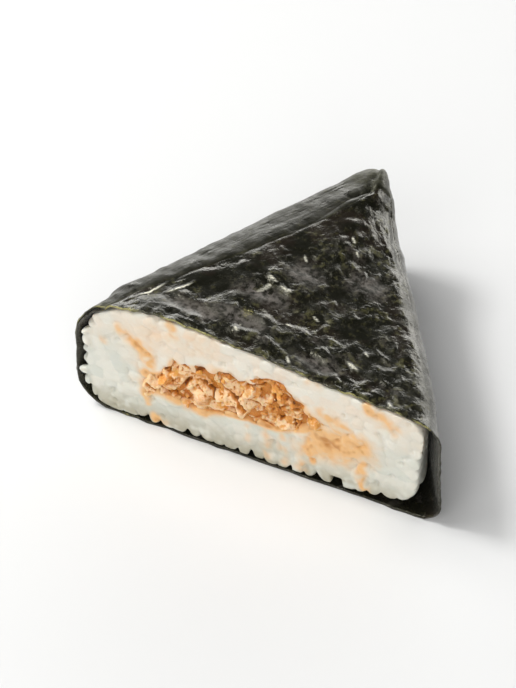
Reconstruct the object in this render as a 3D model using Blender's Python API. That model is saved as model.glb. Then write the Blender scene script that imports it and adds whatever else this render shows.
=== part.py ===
"""Cut half of a triangular rice ball (onigiri): pressed rice, its filling and the seaweed wrap.

Metres, +Z up. The part lies on one of its broad faces. The flat knife cut faces -Y and the tip of
the triangle points to +Y. The origin is on the table, under the middle of the bounding box.

Every piece is lofted from upright sections parallel to the cut. Until a piece is placed, x runs
from the wrap's left wall at the cut, y from the cut towards the tip, and z from the table.
"""

import math

import bmesh
import bpy

# The wrap seen from above: a triangle whose base is the cut.
CUT_WIDTH = 0.0689
LEFT_ANGLE = math.radians(59.0)
RIGHT_ANGLE = math.radians(56.6)
TIP_RADIUS = 0.0034
LEFT_BULGE = 0.0002
RIGHT_BULGE = 0.0008
RIGHT_TAPER = 0.0005

# The wrap seen from the cut. A broad bevel climbs from the left shoulder to a ridge, and the top
# slopes from there to the right wall. Each height is given at the cut and at the tip.
RIDGE_HEIGHTS = (0.0268, 0.0250)
RIGHT_HEIGHTS = (0.0232, 0.0223)
SHOULDER_HEIGHTS = (0.0212, 0.0234)
SHOULDER_RISE_DEPTH = 0.0070
RIDGE_REACH = 0.0076
RIDGE_REACH_SWELL = 0.0016
RIDGE_SPREAD_AT_CUT = 0.0018
RIDGE_SPREAD_DEPTH = 0.0060
RIDGE_WIDEST_SHARE = 0.62
RIDGE_FALL_WIDTH = 0.0024
RIDGE_WANDER = 0.0004
RIDGE_WANDER_TURNS = 3.5
TOP_DOME = 0.0006
TOP_SKEW = 0.0005
TIP_TOP_DROP = 0.0014
TIP_FOOT_LIFT = 0.0022

# Fillets of a section at the cut and at the tip, in the order of its corners: low left, low
# right, high right, ridge, left shoulder.
FILLETS_AT_CUT = (0.0074, 0.0042, 0.0048, 0.0040, 0.0052)
FILLETS_AT_TIP = (0.0040, 0.0034, 0.0040, 0.0018, 0.0018)
SMALLEST_FILLET = 0.0003

NORI_THICKNESS = 0.0005
CLEARANCE = 0.0003

# The wrap's free edge lies along the ridge, so the bevel and the left wall are two sheets thick.
FLAP_STEP = 0.0004
FLAP_FADE_HEIGHTS = (0.0060, 0.0150)

# The rice shrinks back from the wrap at the right end of the cut and lifts off it there. It
# doesn't quite fill the narrow end of the tip either.
RICE_TIP_SLACK = 0.0010
RICE_SLACK = 0.0022
RICE_SLACK_DEPTH = 0.0130
RICE_END_LIFT = 0.0028
RICE_LIFT_START = 0.66
RICE_FOOT_SLACK = 0.0020
# (waves round the outline, depth, phase) of the rice's uneven edge, which fades behind the cut.
RICE_RIPPLES = ((31, 0.00012, 0.4), (19, 0.00010, 1.9))
RICE_RIPPLE_DEPTH = 0.0120

# The filling: a flattened lump, cut near its middle.
FILLING_CENTRE_X = 0.0283
FILLING_CENTRE_Z = 0.0132
FILLING_SLOPE = 0.06
FILLING_HALF_WIDTH = 0.0172
FILLING_HALF_HEIGHT = 0.0058
FILLING_DEPTH = 0.0190
FILLING_SQUARENESS = 2.3
# (lobes round the outline, share of the radius, phase) of each ripple in the filling's edge.
FILLING_RIPPLES = ((3, 0.05, 0.6), (5, 0.05, 2.1), (8, 0.035, 4.0))
POCKET_OVERCUT = 0.0010

# How finely each piece is divided: the broad top and foot, the walls and the bevel, sections
# along the straight walls, and sections round the tip.
WRAP_MESH = {"broad": 12, "wall": 4, "bevel": 4, "straight": 14, "tip": 5}
RICE_MESH = {"broad": 18, "wall": 6, "bevel": 4, "straight": 14, "tip": 5}
FILLET_SHARES = (0.0, 0.25, 0.5, 0.75, 1.0)
RIDGE_SHARES = (0.0, 0.22, 0.45, 0.55, 0.78, 1.0)
FIRST_FLAP_SHARE = 0.5
TIP_END_ANGLE = math.radians(78.0)
FILLING_POINTS = 48
FILLING_SECTIONS = 8
FILLING_END_ANGLE = math.radians(82.0)

MATERIALS = {
    "nori": ((0.020, 0.024, 0.016, 1.0), 0.45),
    "rice": ((0.80, 0.77, 0.70, 1.0), 0.40),
    "filling": ((0.72, 0.38, 0.16, 1.0), 0.45),
}


def blend(pair, share):
    """The value a share of the way from the pair's first number to its second."""
    return pair[0] + (pair[1] - pair[0]) * min(max(share, 0.0), 1.0)


def tip_centre():
    """Centre of the arc that rounds the tip in plan, tangent to both walls."""
    left_start = TIP_RADIUS / math.sin(LEFT_ANGLE)
    right_start = CUT_WIDTH - TIP_RADIUS / math.sin(RIGHT_ANGLE)
    left_run = 1 / math.tan(LEFT_ANGLE)
    right_run = 1 / math.tan(RIGHT_ANGLE)
    y = (right_start - left_start) / (left_run + right_run)
    return left_start + y * left_run, y


def wrap_depth():
    """Distance from the cut to the foremost point of the tip."""
    return tip_centre()[1] + TIP_RADIUS


def walls_at(y, inset):
    """The x of the left and right walls at depth y, moved inwards by inset."""
    centre_x, centre_y = tip_centre()
    radius = TIP_RADIUS - inset
    along = min(y / centre_y, 1.0)
    swell = math.sin(math.pi * along)
    right_swell = RIGHT_BULGE * swell - RIGHT_TAPER * math.sin(math.pi * along**3)
    arc = math.sqrt(max(radius**2 - (y - centre_y) ** 2, 0.0))
    if y < centre_y + radius * math.cos(LEFT_ANGLE):
        left = inset / math.sin(LEFT_ANGLE) + y / math.tan(LEFT_ANGLE) - LEFT_BULGE * swell
    else:
        left = centre_x - arc
    if y < centre_y + radius * math.cos(RIGHT_ANGLE):
        right = inset / math.sin(RIGHT_ANGLE) + y / math.tan(RIGHT_ANGLE) - right_swell
        right = CUT_WIDTH - right
    else:
        right = centre_x + arc
    return left, right


def section_depths(inset, mesh):
    """The depths of the sections: evenly spaced to the tip's arc, then by angle round it."""
    radius = TIP_RADIUS - inset
    centre_y = tip_centre()[1]
    arc_start = math.pi / 2 - LEFT_ANGLE
    straight = centre_y + radius * math.sin(arc_start)
    depths = [straight * i / mesh["straight"] for i in range(mesh["straight"])]
    for i in range(mesh["tip"] + 1):
        angle = arc_start + (TIP_END_ANGLE - arc_start) * i / mesh["tip"]
        depths.append(centre_y + radius * math.sin(angle))
    return depths


def tip_share(y):
    """0 along the walls, rising to 1 at the end of the tip as a quarter circle does."""
    start = tip_centre()[1]
    along = min(max((y - start) / (wrap_depth() - start), 0.0), 1.0)
    return 1 - math.sqrt(1 - along**2)


def section_corners(y, inset):
    """The five corners of the section at depth y, anticlockwise from low left."""
    left, right = walls_at(y, inset)
    share = y / wrap_depth()
    drop = inset + TIP_TOP_DROP * tip_share(y)
    foot = inset + TIP_FOOT_LIFT * tip_share(y)
    ridge_height = blend(RIDGE_HEIGHTS, share) - drop
    right_height = blend(RIGHT_HEIGHTS, share) - drop
    shoulder_height = blend(SHOULDER_HEIGHTS, y / SHOULDER_RISE_DEPTH) - drop
    reach = RIDGE_REACH + RIDGE_REACH_SWELL * math.sin(math.pi * share) ** 2
    reach += RIDGE_SPREAD_AT_CUT * math.exp(-((y / RIDGE_SPREAD_DEPTH) ** 2))
    reach += RIDGE_WANDER * math.sin(2 * math.pi * RIDGE_WANDER_TURNS * share)
    ridge = left + min(reach, RIDGE_WIDEST_SHARE * (right - left))
    narrowing = 1 - min((right - ridge) / RIDGE_FALL_WIDTH, 1.0)
    ridge_height += (right_height - ridge_height) * narrowing
    return (
        (left, foot),
        (right, foot),
        (right, right_height),
        (ridge, ridge_height),
        (left, shoulder_height),
    )


def round_corner(start, corner, end, share):
    """A point on the rational quadratic curve that turns a square corner as a circle's arc does."""
    weight = math.sqrt(0.5)
    parts = ((1 - share) ** 2, 2 * weight * share * (1 - share), share**2)
    total = sum(parts)
    return tuple(
        (parts[0] * a + parts[1] * b + parts[2] * c) / total for a, b, c in zip(start, corner, end)
    )


def fillet_ends(before, corner, after, fillet):
    """Where a corner's fillet leaves the edge before it and meets the edge after it."""
    in_length = math.dist(before, corner)
    out_length = math.dist(corner, after)
    reach = min(fillet, 0.46 * in_length, 0.46 * out_length)
    start = tuple(c + (b - c) * reach / in_length for b, c in zip(before, corner))
    end = tuple(c + (a - c) * reach / out_length for a, c in zip(after, corner))
    return start, end


def rounded_outline(corners, fillets, mesh):
    """A closed outline through filleted corners, and for each point whether the flap covers it."""
    edge_counts = (mesh["broad"], mesh["wall"], mesh["broad"], mesh["bevel"], mesh["wall"])
    ridge_index = len(corners) - 2
    count = len(corners)
    ends = []
    for i, corner in enumerate(corners):
        ends.append(fillet_ends(corners[i - 1], corner, corners[(i + 1) % count], fillets[i]))
    points = []
    covered = []
    for i, (start, end) in enumerate(ends):
        shares = RIDGE_SHARES if i == ridge_index else FILLET_SHARES
        for share in shares:
            points.append(round_corner(start, corners[i], end, share))
            covered.append(i > ridge_index or (i == ridge_index and share > FIRST_FLAP_SHARE))
        next_start = ends[(i + 1) % count][0]
        for step in range(1, edge_counts[i]):
            points.append(tuple(blend(pair, step / edge_counts[i]) for pair in zip(end, next_start)))
            covered.append(i >= ridge_index)
    return points, covered


def domed(points, corners):
    """Raises the top between the ridge and the right wall by a shallow, lopsided dome."""
    ridge = corners[3][0]
    right = corners[2][0]
    foot = corners[0][1]
    top = corners[3][1]
    raised = []
    for x, z in points:
        across = min(max((x - ridge) / (right - ridge), 0.0), 1.0)
        upper = min(max((z - foot) / (top - foot), 0.0), 1.0)
        dome = TOP_DOME * math.sin(math.pi * across) + TOP_SKEW * math.sin(2 * math.pi * across)
        raised.append((x, z + dome * upper**2))
    return raised


def pushed_out(points, amounts):
    """Moves each point of an anticlockwise outline outwards by its own amount."""
    count = len(points)
    moved = []
    for i, (x, z) in enumerate(points):
        before_x, before_z = points[i - 1]
        after_x, after_z = points[(i + 1) % count]
        run_x = after_x - before_x
        run_z = after_z - before_z
        length = math.hypot(run_x, run_z)
        moved.append((x + amounts[i] * run_z / length, z - amounts[i] * run_x / length))
    return moved


def flap_amount(is_covered, z):
    """How much the second sheet raises a point: fully up high, fading out down the left wall."""
    low, high = FLAP_FADE_HEIGHTS
    return FLAP_STEP * blend((0.0, 1.0), (z - low) / (high - low)) if is_covered else 0.0


def wrap_section(y, inset, mesh):
    """The wrap's section at depth y, moved inwards by inset. The outer skin carries the flap."""
    corners = section_corners(y, inset)
    share = y / wrap_depth()
    fillets = [blend(pair, share) - inset for pair in zip(FILLETS_AT_CUT, FILLETS_AT_TIP)]
    fillets = [max(fillet, SMALLEST_FILLET) for fillet in fillets]
    outline, covered = rounded_outline(corners, fillets, mesh)
    outline = domed(outline, corners)
    if inset == 0.0:
        amounts = [flap_amount(flag, z) for flag, (x, z) in zip(covered, outline)]
        outline = pushed_out(outline, amounts)
    return [(x, y, z) for x, z in outline]


def rice_section(y, mesh):
    """The rice's section: the wrap's inside, uneven, and slack at the right of the cut."""
    inset = NORI_THICKNESS + CLEARANCE + RICE_TIP_SLACK * (y / wrap_depth()) ** 4
    slack = max(1 - y / RICE_SLACK_DEPTH, 0.0) ** 2
    left, right = walls_at(y, inset)
    width = right - left
    narrowed = (width - RICE_SLACK * slack) / width
    outline = []
    for x, _, z in wrap_section(y, inset, mesh):
        across = (x - left) / width
        lift_share = min(max((across - RICE_LIFT_START) / (1 - RICE_LIFT_START), 0.0), 1.0)
        foot_share = max(1 - z / RIGHT_HEIGHTS[0], 0.0)
        lift = RICE_END_LIFT * slack * lift_share**2 * foot_share
        foot_pull = RICE_FOOT_SLACK * slack * across**4 * foot_share
        outline.append((left + (x - left) * narrowed - foot_pull, z + lift))
    fade = max(1 - y / RICE_RIPPLE_DEPTH, 0.0)
    amounts = []
    for i in range(len(outline)):
        turn = 2 * math.pi * i / len(outline)
        amounts.append(-fade * sum(a * (1 + math.sin(k * turn + p)) for k, a, p in RICE_RIPPLES))
    return [(x, y, z) for x, z in pushed_out(outline, amounts)]


def filling_section(share, grow, start_y):
    """The filling's section a share of the way in, enlarged by grow, as an uneven flattened round."""
    angle = FILLING_END_ANGLE * share
    size = math.cos(angle)
    depth = (FILLING_DEPTH + grow) * math.sin(angle)
    points = []
    for i in range(FILLING_POINTS):
        turn = 2 * math.pi * i / FILLING_POINTS
        ripple = 1 + sum(a * math.sin(lobes * turn + phase) for lobes, a, phase in FILLING_RIPPLES)
        across = math.copysign(abs(math.cos(turn)) ** (2 / FILLING_SQUARENESS), math.cos(turn))
        up = math.copysign(abs(math.sin(turn)) ** (2 / FILLING_SQUARENESS), math.sin(turn))
        x = (FILLING_HALF_WIDTH * size * (1 + ripple) / 2 + grow) * across
        z = (FILLING_HALF_HEIGHT * size * ripple + grow) * up + FILLING_SLOPE * x
        y = max(depth, start_y) if share else start_y
        points.append((FILLING_CENTRE_X + x, y, FILLING_CENTRE_Z + z))
    return points


def add_loop(bm, points):
    """Adds a closed ring of vertices and its edges, and returns the vertices in order."""
    verts = [bm.verts.new(point) for point in points]
    for i, vert in enumerate(verts):
        bm.edges.new((vert, verts[(i + 1) % len(verts)]))
    return verts


def join_loops(bm, first, second):
    """Fills the band between two rings of the same count with quads."""
    count = len(first)
    for i in range(count):
        after = (i + 1) % count
        bm.faces.new((first[i], first[after], second[after], second[i]))


def loft(bm, sections):
    """A skin through the sections. Returns its first and last rings."""
    rings = [add_loop(bm, section) for section in sections]
    for first, second in zip(rings, rings[1:]):
        join_loops(bm, first, second)
    return rings[0], rings[-1]


def plain_material(name):
    colour, roughness = MATERIALS[name]
    material = bpy.data.materials.new(name)
    material.use_nodes = True
    shader = material.node_tree.nodes["Principled BSDF"]
    shader.inputs["Base Color"].default_value = colour
    shader.inputs["Roughness"].default_value = roughness
    shader.inputs["Metallic"].default_value = 0.0
    return material


def finish_object(name, bm):
    """Turns the bmesh into a named, smooth-shaded object with its own material."""
    bmesh.ops.recalc_face_normals(bm, faces=bm.faces)
    mesh = bpy.data.meshes.new(name)
    bm.to_mesh(mesh)
    bm.free()
    mesh.shade_smooth()
    mesh.set_sharp_from_angle(angle=math.radians(38.0))
    obj = bpy.data.objects.new(name, mesh)
    bpy.context.scene.collection.objects.link(obj)
    if name in MATERIALS:
        mesh.materials.append(plain_material(name))
    return obj


def make_nori():
    """The seaweed sheet: a thin shell round the rice, open at the cut and folded shut at the tip."""
    bm = bmesh.new()
    skins = []
    for inset in (0.0, NORI_THICKNESS):
        depths = section_depths(inset, WRAP_MESH)
        skins.append(loft(bm, [wrap_section(y, inset, WRAP_MESH) for y in depths]))
    (outer_rim, outer_end), (inner_rim, inner_end) = skins
    join_loops(bm, outer_rim, inner_rim)
    bm.faces.new(outer_end)
    bm.faces.new(inner_end)
    return finish_object("nori", bm)


def make_filling():
    """The seasoned flakes pressed into the middle of the rice, flush with the cut."""
    bm = bmesh.new()
    shares = [i / FILLING_SECTIONS for i in range(FILLING_SECTIONS + 1)]
    rim, end = loft(bm, [filling_section(share, 0.0, 0.0) for share in shares])
    bm.faces.new(rim)
    bm.faces.new(end)
    return finish_object("filling", bm)


def make_pocket():
    """The cutter for the filling's seat, larger by the clearance and open past the cut."""
    bm = bmesh.new()
    shares = [i / FILLING_SECTIONS for i in range(FILLING_SECTIONS + 1)]
    sections = [filling_section(share, CLEARANCE, 0.0) for share in shares]
    sections.insert(0, filling_section(0.0, CLEARANCE, -POCKET_OVERCUT))
    rim, end = loft(bm, sections)
    bm.faces.new(rim)
    bm.faces.new(end)
    cutter = finish_object("filling_pocket", bm)
    cutter.hide_render = True
    cutter.display_type = "WIRE"
    return cutter


def make_rice(pocket):
    """The pressed rice inside the wrap, hollowed where the filling sits."""
    bm = bmesh.new()
    depths = section_depths(NORI_THICKNESS + CLEARANCE + RICE_TIP_SLACK, RICE_MESH)
    rim, end = loft(bm, [rice_section(y, RICE_MESH) for y in depths])
    bm.faces.new(rim)
    bm.faces.new(end)
    rice = finish_object("rice", bm)
    cut = rice.modifiers.new("filling_seat", "BOOLEAN")
    cut.operation = "DIFFERENCE"
    cut.solver = "EXACT"
    cut.object = pocket
    return rice


def middle_of(obj):
    """The middle of an object's width and depth, from its mesh."""
    xs = [vert.co.x for vert in obj.data.vertices]
    ys = [vert.co.y for vert in obj.data.vertices]
    return (min(xs) + max(xs)) / 2, (min(ys) + max(ys)) / 2


def main():
    for obj in list(bpy.data.objects):
        bpy.data.objects.remove(obj)
    nori = make_nori()
    pocket = make_pocket()
    middle_x, middle_y = middle_of(nori)
    for piece in (nori, make_rice(pocket), make_filling(), pocket):
        piece.location = (-middle_x, -middle_y, 0.0)


main()
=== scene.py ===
"""Looks of a cut rice ball half: seaweed wrap, pressed rice grains and a filling of moist flakes.

Laid out as a Blender add-on and run as a script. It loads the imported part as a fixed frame, then
builds each visible piece in the space of its solid. Metres, +Z up, in the part's own frame.
"""

import math

import bmesh
import bpy
import numpy as np
from bpy.props import FloatProperty, FloatVectorProperty, IntProperty, PointerProperty
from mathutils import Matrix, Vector, kdtree, noise


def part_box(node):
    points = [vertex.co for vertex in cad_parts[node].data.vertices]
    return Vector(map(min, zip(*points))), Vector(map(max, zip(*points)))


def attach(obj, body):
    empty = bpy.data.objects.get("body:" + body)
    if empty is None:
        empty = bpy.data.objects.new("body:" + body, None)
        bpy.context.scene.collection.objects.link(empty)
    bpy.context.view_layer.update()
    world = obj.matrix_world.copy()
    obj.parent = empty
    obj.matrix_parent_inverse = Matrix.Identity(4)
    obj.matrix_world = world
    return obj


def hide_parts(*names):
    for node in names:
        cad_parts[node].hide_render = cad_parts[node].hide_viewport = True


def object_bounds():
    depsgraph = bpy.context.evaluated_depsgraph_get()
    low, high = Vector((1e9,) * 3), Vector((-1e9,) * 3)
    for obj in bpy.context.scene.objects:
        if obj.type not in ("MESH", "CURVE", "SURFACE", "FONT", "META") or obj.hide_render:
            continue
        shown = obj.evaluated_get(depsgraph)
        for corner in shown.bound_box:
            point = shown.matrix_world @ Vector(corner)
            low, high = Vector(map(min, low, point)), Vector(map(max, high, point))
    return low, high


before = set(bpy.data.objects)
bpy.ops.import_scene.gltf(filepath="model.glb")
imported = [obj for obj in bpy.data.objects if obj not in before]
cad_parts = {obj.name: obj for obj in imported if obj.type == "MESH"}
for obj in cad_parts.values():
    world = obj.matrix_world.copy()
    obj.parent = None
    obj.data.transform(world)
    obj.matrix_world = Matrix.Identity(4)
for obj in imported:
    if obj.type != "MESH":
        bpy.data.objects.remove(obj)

bl_info = {
    "name": "Onigiri Half",
    "version": (1, 0, 0),
    "blender": (4, 5, 0),
    "location": "3D View > Sidebar > Onigiri",
    "description": "Builds a cut rice ball half with its wrap, rice grains and filling",
    "category": "Object",
}

CAD_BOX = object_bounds()
NORI_LOW, NORI_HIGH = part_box("nori")
MM = 0.001

# The wrap's form. Until a piece is placed, x runs from the wrap's left wall at the cut, y from
# the cut towards the tip, and z from the table.
FLAP_STEP = 0.0004
CUT_WIDTH = NORI_HIGH.x - NORI_LOW.x - FLAP_STEP
LEFT_ANGLE = math.radians(59.0)
RIGHT_ANGLE = math.radians(56.6)
TIP_RADIUS = 0.0034
LEFT_BULGE = 0.0002
RIGHT_BULGE = 0.0008
RIGHT_TAPER = 0.0005
RIDGE_HEIGHTS = (0.0268, 0.0250)
RIGHT_HEIGHTS = (0.0232, 0.0223)
SHOULDER_HEIGHTS = (0.0212, 0.0234)
SHOULDER_RISE_DEPTH = 0.0070
RIDGE_REACH = 0.0076
RIDGE_REACH_SWELL = 0.0016
RIDGE_SPREAD_AT_CUT = 0.0018
RIDGE_SPREAD_DEPTH = 0.0060
RIDGE_WIDEST_SHARE = 0.62
RIDGE_FALL_WIDTH = 0.0024
RIDGE_WANDER = 0.0004
RIDGE_WANDER_TURNS = 3.5
TOP_DOME = 0.0006
TOP_SKEW = 0.0005
TIP_TOP_DROP = 0.0014
TIP_FOOT_LIFT = 0.0022
FILLETS_AT_CUT = (0.0074, 0.0042, 0.0048, 0.0040, 0.0052)
FILLETS_AT_TIP = (0.0040, 0.0034, 0.0040, 0.0018, 0.0018)
SMALLEST_FILLET = 0.0003
FILLET_STEPS = 6
FILLET_REACH = 0.46
TIP_END_ANGLE = math.radians(87.0)

# The rice's slack at the right end of the cut, and the seat of the filling.
RICE_SLACK = 0.0022
RICE_SLACK_DEPTH = 0.0130
RICE_END_LIFT = 0.0028
RICE_LIFT_START = 0.66
RICE_FOOT_SLACK = 0.0020
FILLING_CENTRE = (0.0283, 0.0132)
FILLING_SLOPE = 0.06
FILLING_HALF_SIZE = (0.0172, 0.0058)
FILLING_SQUARENESS = 2.3
FILLING_RIPPLES = ((3, 0.05, 0.6), (5, 0.05, 2.1), (8, 0.035, 4.0))

ORIGIN = Vector((NORI_LOW.x + FLAP_STEP, NORI_LOW.y, NORI_LOW.z))

# Points on the spans of an outline, in order: foot, right wall, top, bevel, left wall. The flap
# lies over the bevel and the left wall, so the sheet under it is coarse.
WRAP_COUNTS = (34, 50, 254, 62, 12)
FLAP_COUNTS = (20, 4, 100, 78, 62)
FLAP_COLUMNS = 132
# How far the flap reaches over the top from the left wall: (depth, reach), in mm.
FLAP_REACHES = ((0, 5.2), (8, 7.0), (15, 8.2), (22, 9.1), (29, 10.1), (36, 9.7), (42, 8.8),
                (45.5, 8.2), (47.5, 9.0), (48.5, 12.0))

# Rows of the sheet's sections along the walls and round the tip, for the wrap and for the flap.
WRAP_ROWS = (196, 14)
FLAP_ROWS = (180, 12)
# Rows of the wrap's outside that its inside keeps.
INSIDE_ROWS = [0, 2, 5, 9, 16, 28, 44, 70, 100, 140, 180, 207]
# Places on the way round a section: the foot up to 1, the right wall up to 2, the top up to 3,
# the bevel up to 4 and the left wall up to 5. In pairs, a mask fades between the two.
RIGHT_FOOT = (0.9, 1.1)
TOP_START = (1.96, 2.05)
COVER_START = (1.96, 2.0)
COVER_END = (4.70, 4.78)
LEFT_FOOT = (4.85, 5.0)
SHOULDER = 2.01
SHOULDER_SPREAD = 0.085
BEVEL_END = 4.0
FLAP_SPAN = (2.02, 4.78)

# Grains under the sheet: their spacing, half lengths, half widths and how strongly they lift it.
HIDDEN_SPACING = 0.0023
HIDDEN_LENGTHS = (0.0021, 0.0030)
HIDDEN_WIDTHS = (0.0012, 0.0016)
HIDDEN_LIFTS = (0.45, 1.0)
HIDDEN_REACH = 0.0036
# Puckers of the sheet: their direction and its spread, half length, half widths, shares of the
# full height, and bends.
PUCKER_TURN = (math.radians(-25), math.radians(55))
PUCKER_LENGTH = 0.0017
PUCKER_WIDTHS = (0.00032, 0.00052)
PUCKER_LIFTS = (0.35, 1.0)
PUCKER_BENDS = (-0.5, 0.5)

# Noises of the sheet: the size of their features and a seed.
WAVES = (0.0072, 3.1)
RIPPLES = (0.0030, 8.4)
FACETS = ((0.0042, 1.3), (0.0021, 6.9))
BUSY_AREAS = (0.0095, 12.3)
WORN_CRESTS = (0.0042, 9.4)
BROWN_SPECKLE = (0.0014, 3.7)
EDGING = (0.0009, 9.9, (9.0, 1.0, 1.0))
RAGGED = ((0.0017, 4.4), (0.0007, 2.7))
FLAP_WAVES = (0.0065, 3.1)
FLAP_LUMPS = (0.0024, 6.0)
FLAP_RAISED = (0.0045, 8.8)
FLAP_STREAKS = (0.0013, 1.2, (7.0, 1.0, 1.0))
FLAP_SCRATCHES = (0.0005, 5.2, (8.0, 1.0, 1.0))
# Winding crests of the sheet: the size of their curls, their width as a share of it and a seed.
CRINKLES = ((0.0023, 0.26, 5.7), (0.0016, 0.28, 21.3))

# The torn edge at the cut: how deep it reaches, and how far it wanders.
WRAP_TEAR = (0.0012, 0.00028)
FLAP_TEAR = (0.0015, 0.00030)
# Depths behind the cut over which hidden grains show less, and over which the top sinks.
NEAR_CUT = (0.003, 0.014)
SINK_START = (0.002, 0.006)
# How far the sheet sinks on top, away from the cut, in its brown hollows, and at most.
TOP_SINK = 0.00022
HOLLOW_SINK = 0.00025
DEEPEST_SINK = 0.00030
EDGING_HEIGHT = 0.00006
# The relief that counts as fully raised, the heights of folds at which their crests turn olive and
# pale, partly thin sheet and partly a painted highlight, and how deep the cut's edge is frayed.
FULL_HEIGHT = 0.0007
WORN_HEIGHTS = (0.00012, 0.00030)
FRAYED_DEPTH = 0.0006
# How deep the flap is frayed at the cut, and how wide along its free edge.
FLAP_FRAYED_DEPTH = 0.0008
FRAYED_WIDTH = 0.0002
# How far the flap's free edge wanders, and the least that the flap lies over the wrap.
FREE_EDGE_WANDER = 0.0009
LEAST_OVERLAP = 0.00022
# The bends of the free edge's line, as noise: a shift, the size of the bends and a seed.
EDGE_BENDS = ((0.0, 0.0050, 4.1), (3.0, 0.0014, 1.7))
# How far the wrap under the free edge takes to rise to its own relief, and how far the flap's
# own edge takes to come down to it.
FLAP_EDGE_FADE = (-0.0008, 0.0014)
FREE_EDGE_WIDTH = 0.0006
# Where the flap's free edge lies from the base form, and how much higher it rises in places.
FREE_EDGE_LIFT = -0.00014
FREE_EDGE_RISE = 0.00022
# How far the flap stands back from the cut, how deep that reaches, the heights over which it
# grows, and the least of it.
CUT_RECESS = 0.0005
CUT_RECESS_DEPTH = 0.0020
CUT_RECESS_RISE = (0.0, 0.016)
LEAST_RECESS = 0.00002
# Below this height the flap thins and tucks in towards the foot.
TUCK_HEIGHT = 0.0055
TUCK_FADE = 0.009
# Heights of the flap's lumps, everywhere and in addition near the cut, streaks and scratches.
LUMP_HEIGHTS = (0.00014, 0.00020)
LUMPS_FADE = (0.010, 0.030)
STREAK_HEIGHT = 0.00004
SCRATCH_HEIGHT = 0.00003
# Where the sheet is thin and olive: how strongly and how high at the tip, how far from it, and
# the lip on the cut (x, half width, half depth, in mm).
TIP_OLIVE = 0.6
TIP_OLIVE_HEIGHT = 0.022
WRAP_OLIVE_REACH = 0.0075
FLAP_OLIVE_REACH = 0.0060
OLIVE_LIP = (11.0, 3.4, 0.9)

# Folds of the sheet on top: (x, y, direction in degrees, half length, half width, height), in mm.
FOLDS = (
    (26.8, 7.2, 14, 7.5, 1.9, 0.36),
    (30.4, 12.2, 20, 4.6, 1.5, 0.26),
    (32.2, 20.2, 10, 3.2, 1.3, 0.20),
    (44.0, 5.2, -12, 3.4, 1.4, 0.20),
    (38.0, 17.0, -30, 4.2, 1.5, 0.14),
    (46.0, 22.0, -30, 6.0, 1.9, 0.14),
    (29.0, 17.2, -20, 1.6, 0.32, 0.32),
    (32.0, 16.2, -14, 1.9, 0.34, 0.34),
    (31.8, 24.5, -45, 1.1, 0.28, 0.26),
    (37.3, 32.6, -43, 1.1, 0.30, 0.24),
    (39.2, 30.5, -40, 0.9, 0.28, 0.24),
    (49.5, 6.5, -21, 2.1, 0.36, 0.36),
    (36.0, 9.3, 5, 0.9, 0.28, 0.26),
    (28.5, 3.7, -37, 1.1, 0.36, 0.30),
    (59.0, 1.0, -37, 1.1, 0.30, 0.30),
    (39.3, 13.3, -24, 1.1, 0.28, 0.24),
    (39.3, 2.1, -49, 1.4, 0.30, 0.26),
    (50.4, 10.1, -25, 0.9, 0.28, 0.22),
    (11.2, 6.2, 54, 4.2, 0.36, 0.30),
    (12.6, 10.8, 58, 5.0, 0.42, 0.26),
    (15.8, 8.4, 50, 3.6, 0.34, 0.22),
    (9.0, 5.6, 57, 3.0, 0.30, 0.24),
)
# Folds up to this half width, in mm, are strokes, whose wet crests catch the light.
STROKE_WIDTH = 0.40
FOLD_BEND = 0.10
# Rings of the sheet round a grain: (x, y, radius, height), in mm.
RINGS = ((44.5, 8.3, 2.0, 0.30), (52.0, 13.2, 1.8, 0.26), (34.6, 11.9, 1.4, 0.22),
         (47.8, 17.6, 1.9, 0.18), (41.5, 26.0, 1.8, 0.18), (56.2, 7.2, 1.7, 0.24))
# The arcs of each ring: where round it they lie in degrees, their half width and their bend.
RING_TURNS = (20, 105, 165, 250)
RING_WIDTH = 0.00032
RING_BEND = 0.34
# A height just under the top, from which the nearest point of the sheet is looked for.
NEAR_TOP = 0.026
# Brown hollows of the sheet: (x, y, half width, half depth), in mm.
HOLLOWS = ((31.0, 1.4, 4.2, 1.5), (41.5, 4.2, 2.4, 1.2), (50.5, 4.6, 2.0, 1.0),
           (35.0, 33.0, 2.2, 1.6), (39.6, 29.0, 1.4, 1.6), (33.6, 38.0, 3.0, 1.4))
# Where the sheet is dark and wet, and where it lies smooth: (x, y, half width, half depth), in mm.
DARK_PLACES = ((19.0, 12.8, 7.0, 3.6), (29.0, 27.0, 4.0, 4.0), (33.6, 36.0, 3.0, 4.0),
               (24.0, 18.5, 3.6, 3.0), (47.0, 14.0, 3.6, 3.4), (40.0, 20.5, 2.6, 2.0))
# Where the sheet lies smooth, a pale painted sheen goes into its colour.
CALM_PLACES = ((20.0, 4.9, 4.8, 1.5), (27.6, 6.5, 5.4, 1.7), (29.4, 13.3, 4.8, 2.0),
               (33.0, 21.1, 3.0, 2.2), (44.0, 3.4, 3.6, 1.4), (43.0, 25.0, 3.6, 2.6))

# Where the filling leaves its even outline: (x, z, half width, half height, amount), in mm. Rice
# covers it where the amount is above 0, and it spreads where the amount is below 0.
FILLING_BENDS = (
    (31.5, 8.0, 6.5, 1.6, 0.34),
    (31.0, 18.9, 0.9, 1.7, 0.32),
    (15.4, 15.8, 1.9, 2.5, 0.60),
    (20.6, 19.0, 1.2, 1.7, 0.34),
    (12.0, 13.0, 1.8, 3.0, 0.24),
    (26.5, 20.2, 3.4, 1.5, -0.26),
    (37.6, 20.4, 3.8, 1.7, -0.32),
    (13.0, 6.4, 1.7, 1.4, -0.32),
    (24.3, 7.4, 1.0, 1.1, -0.20),
)
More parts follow.
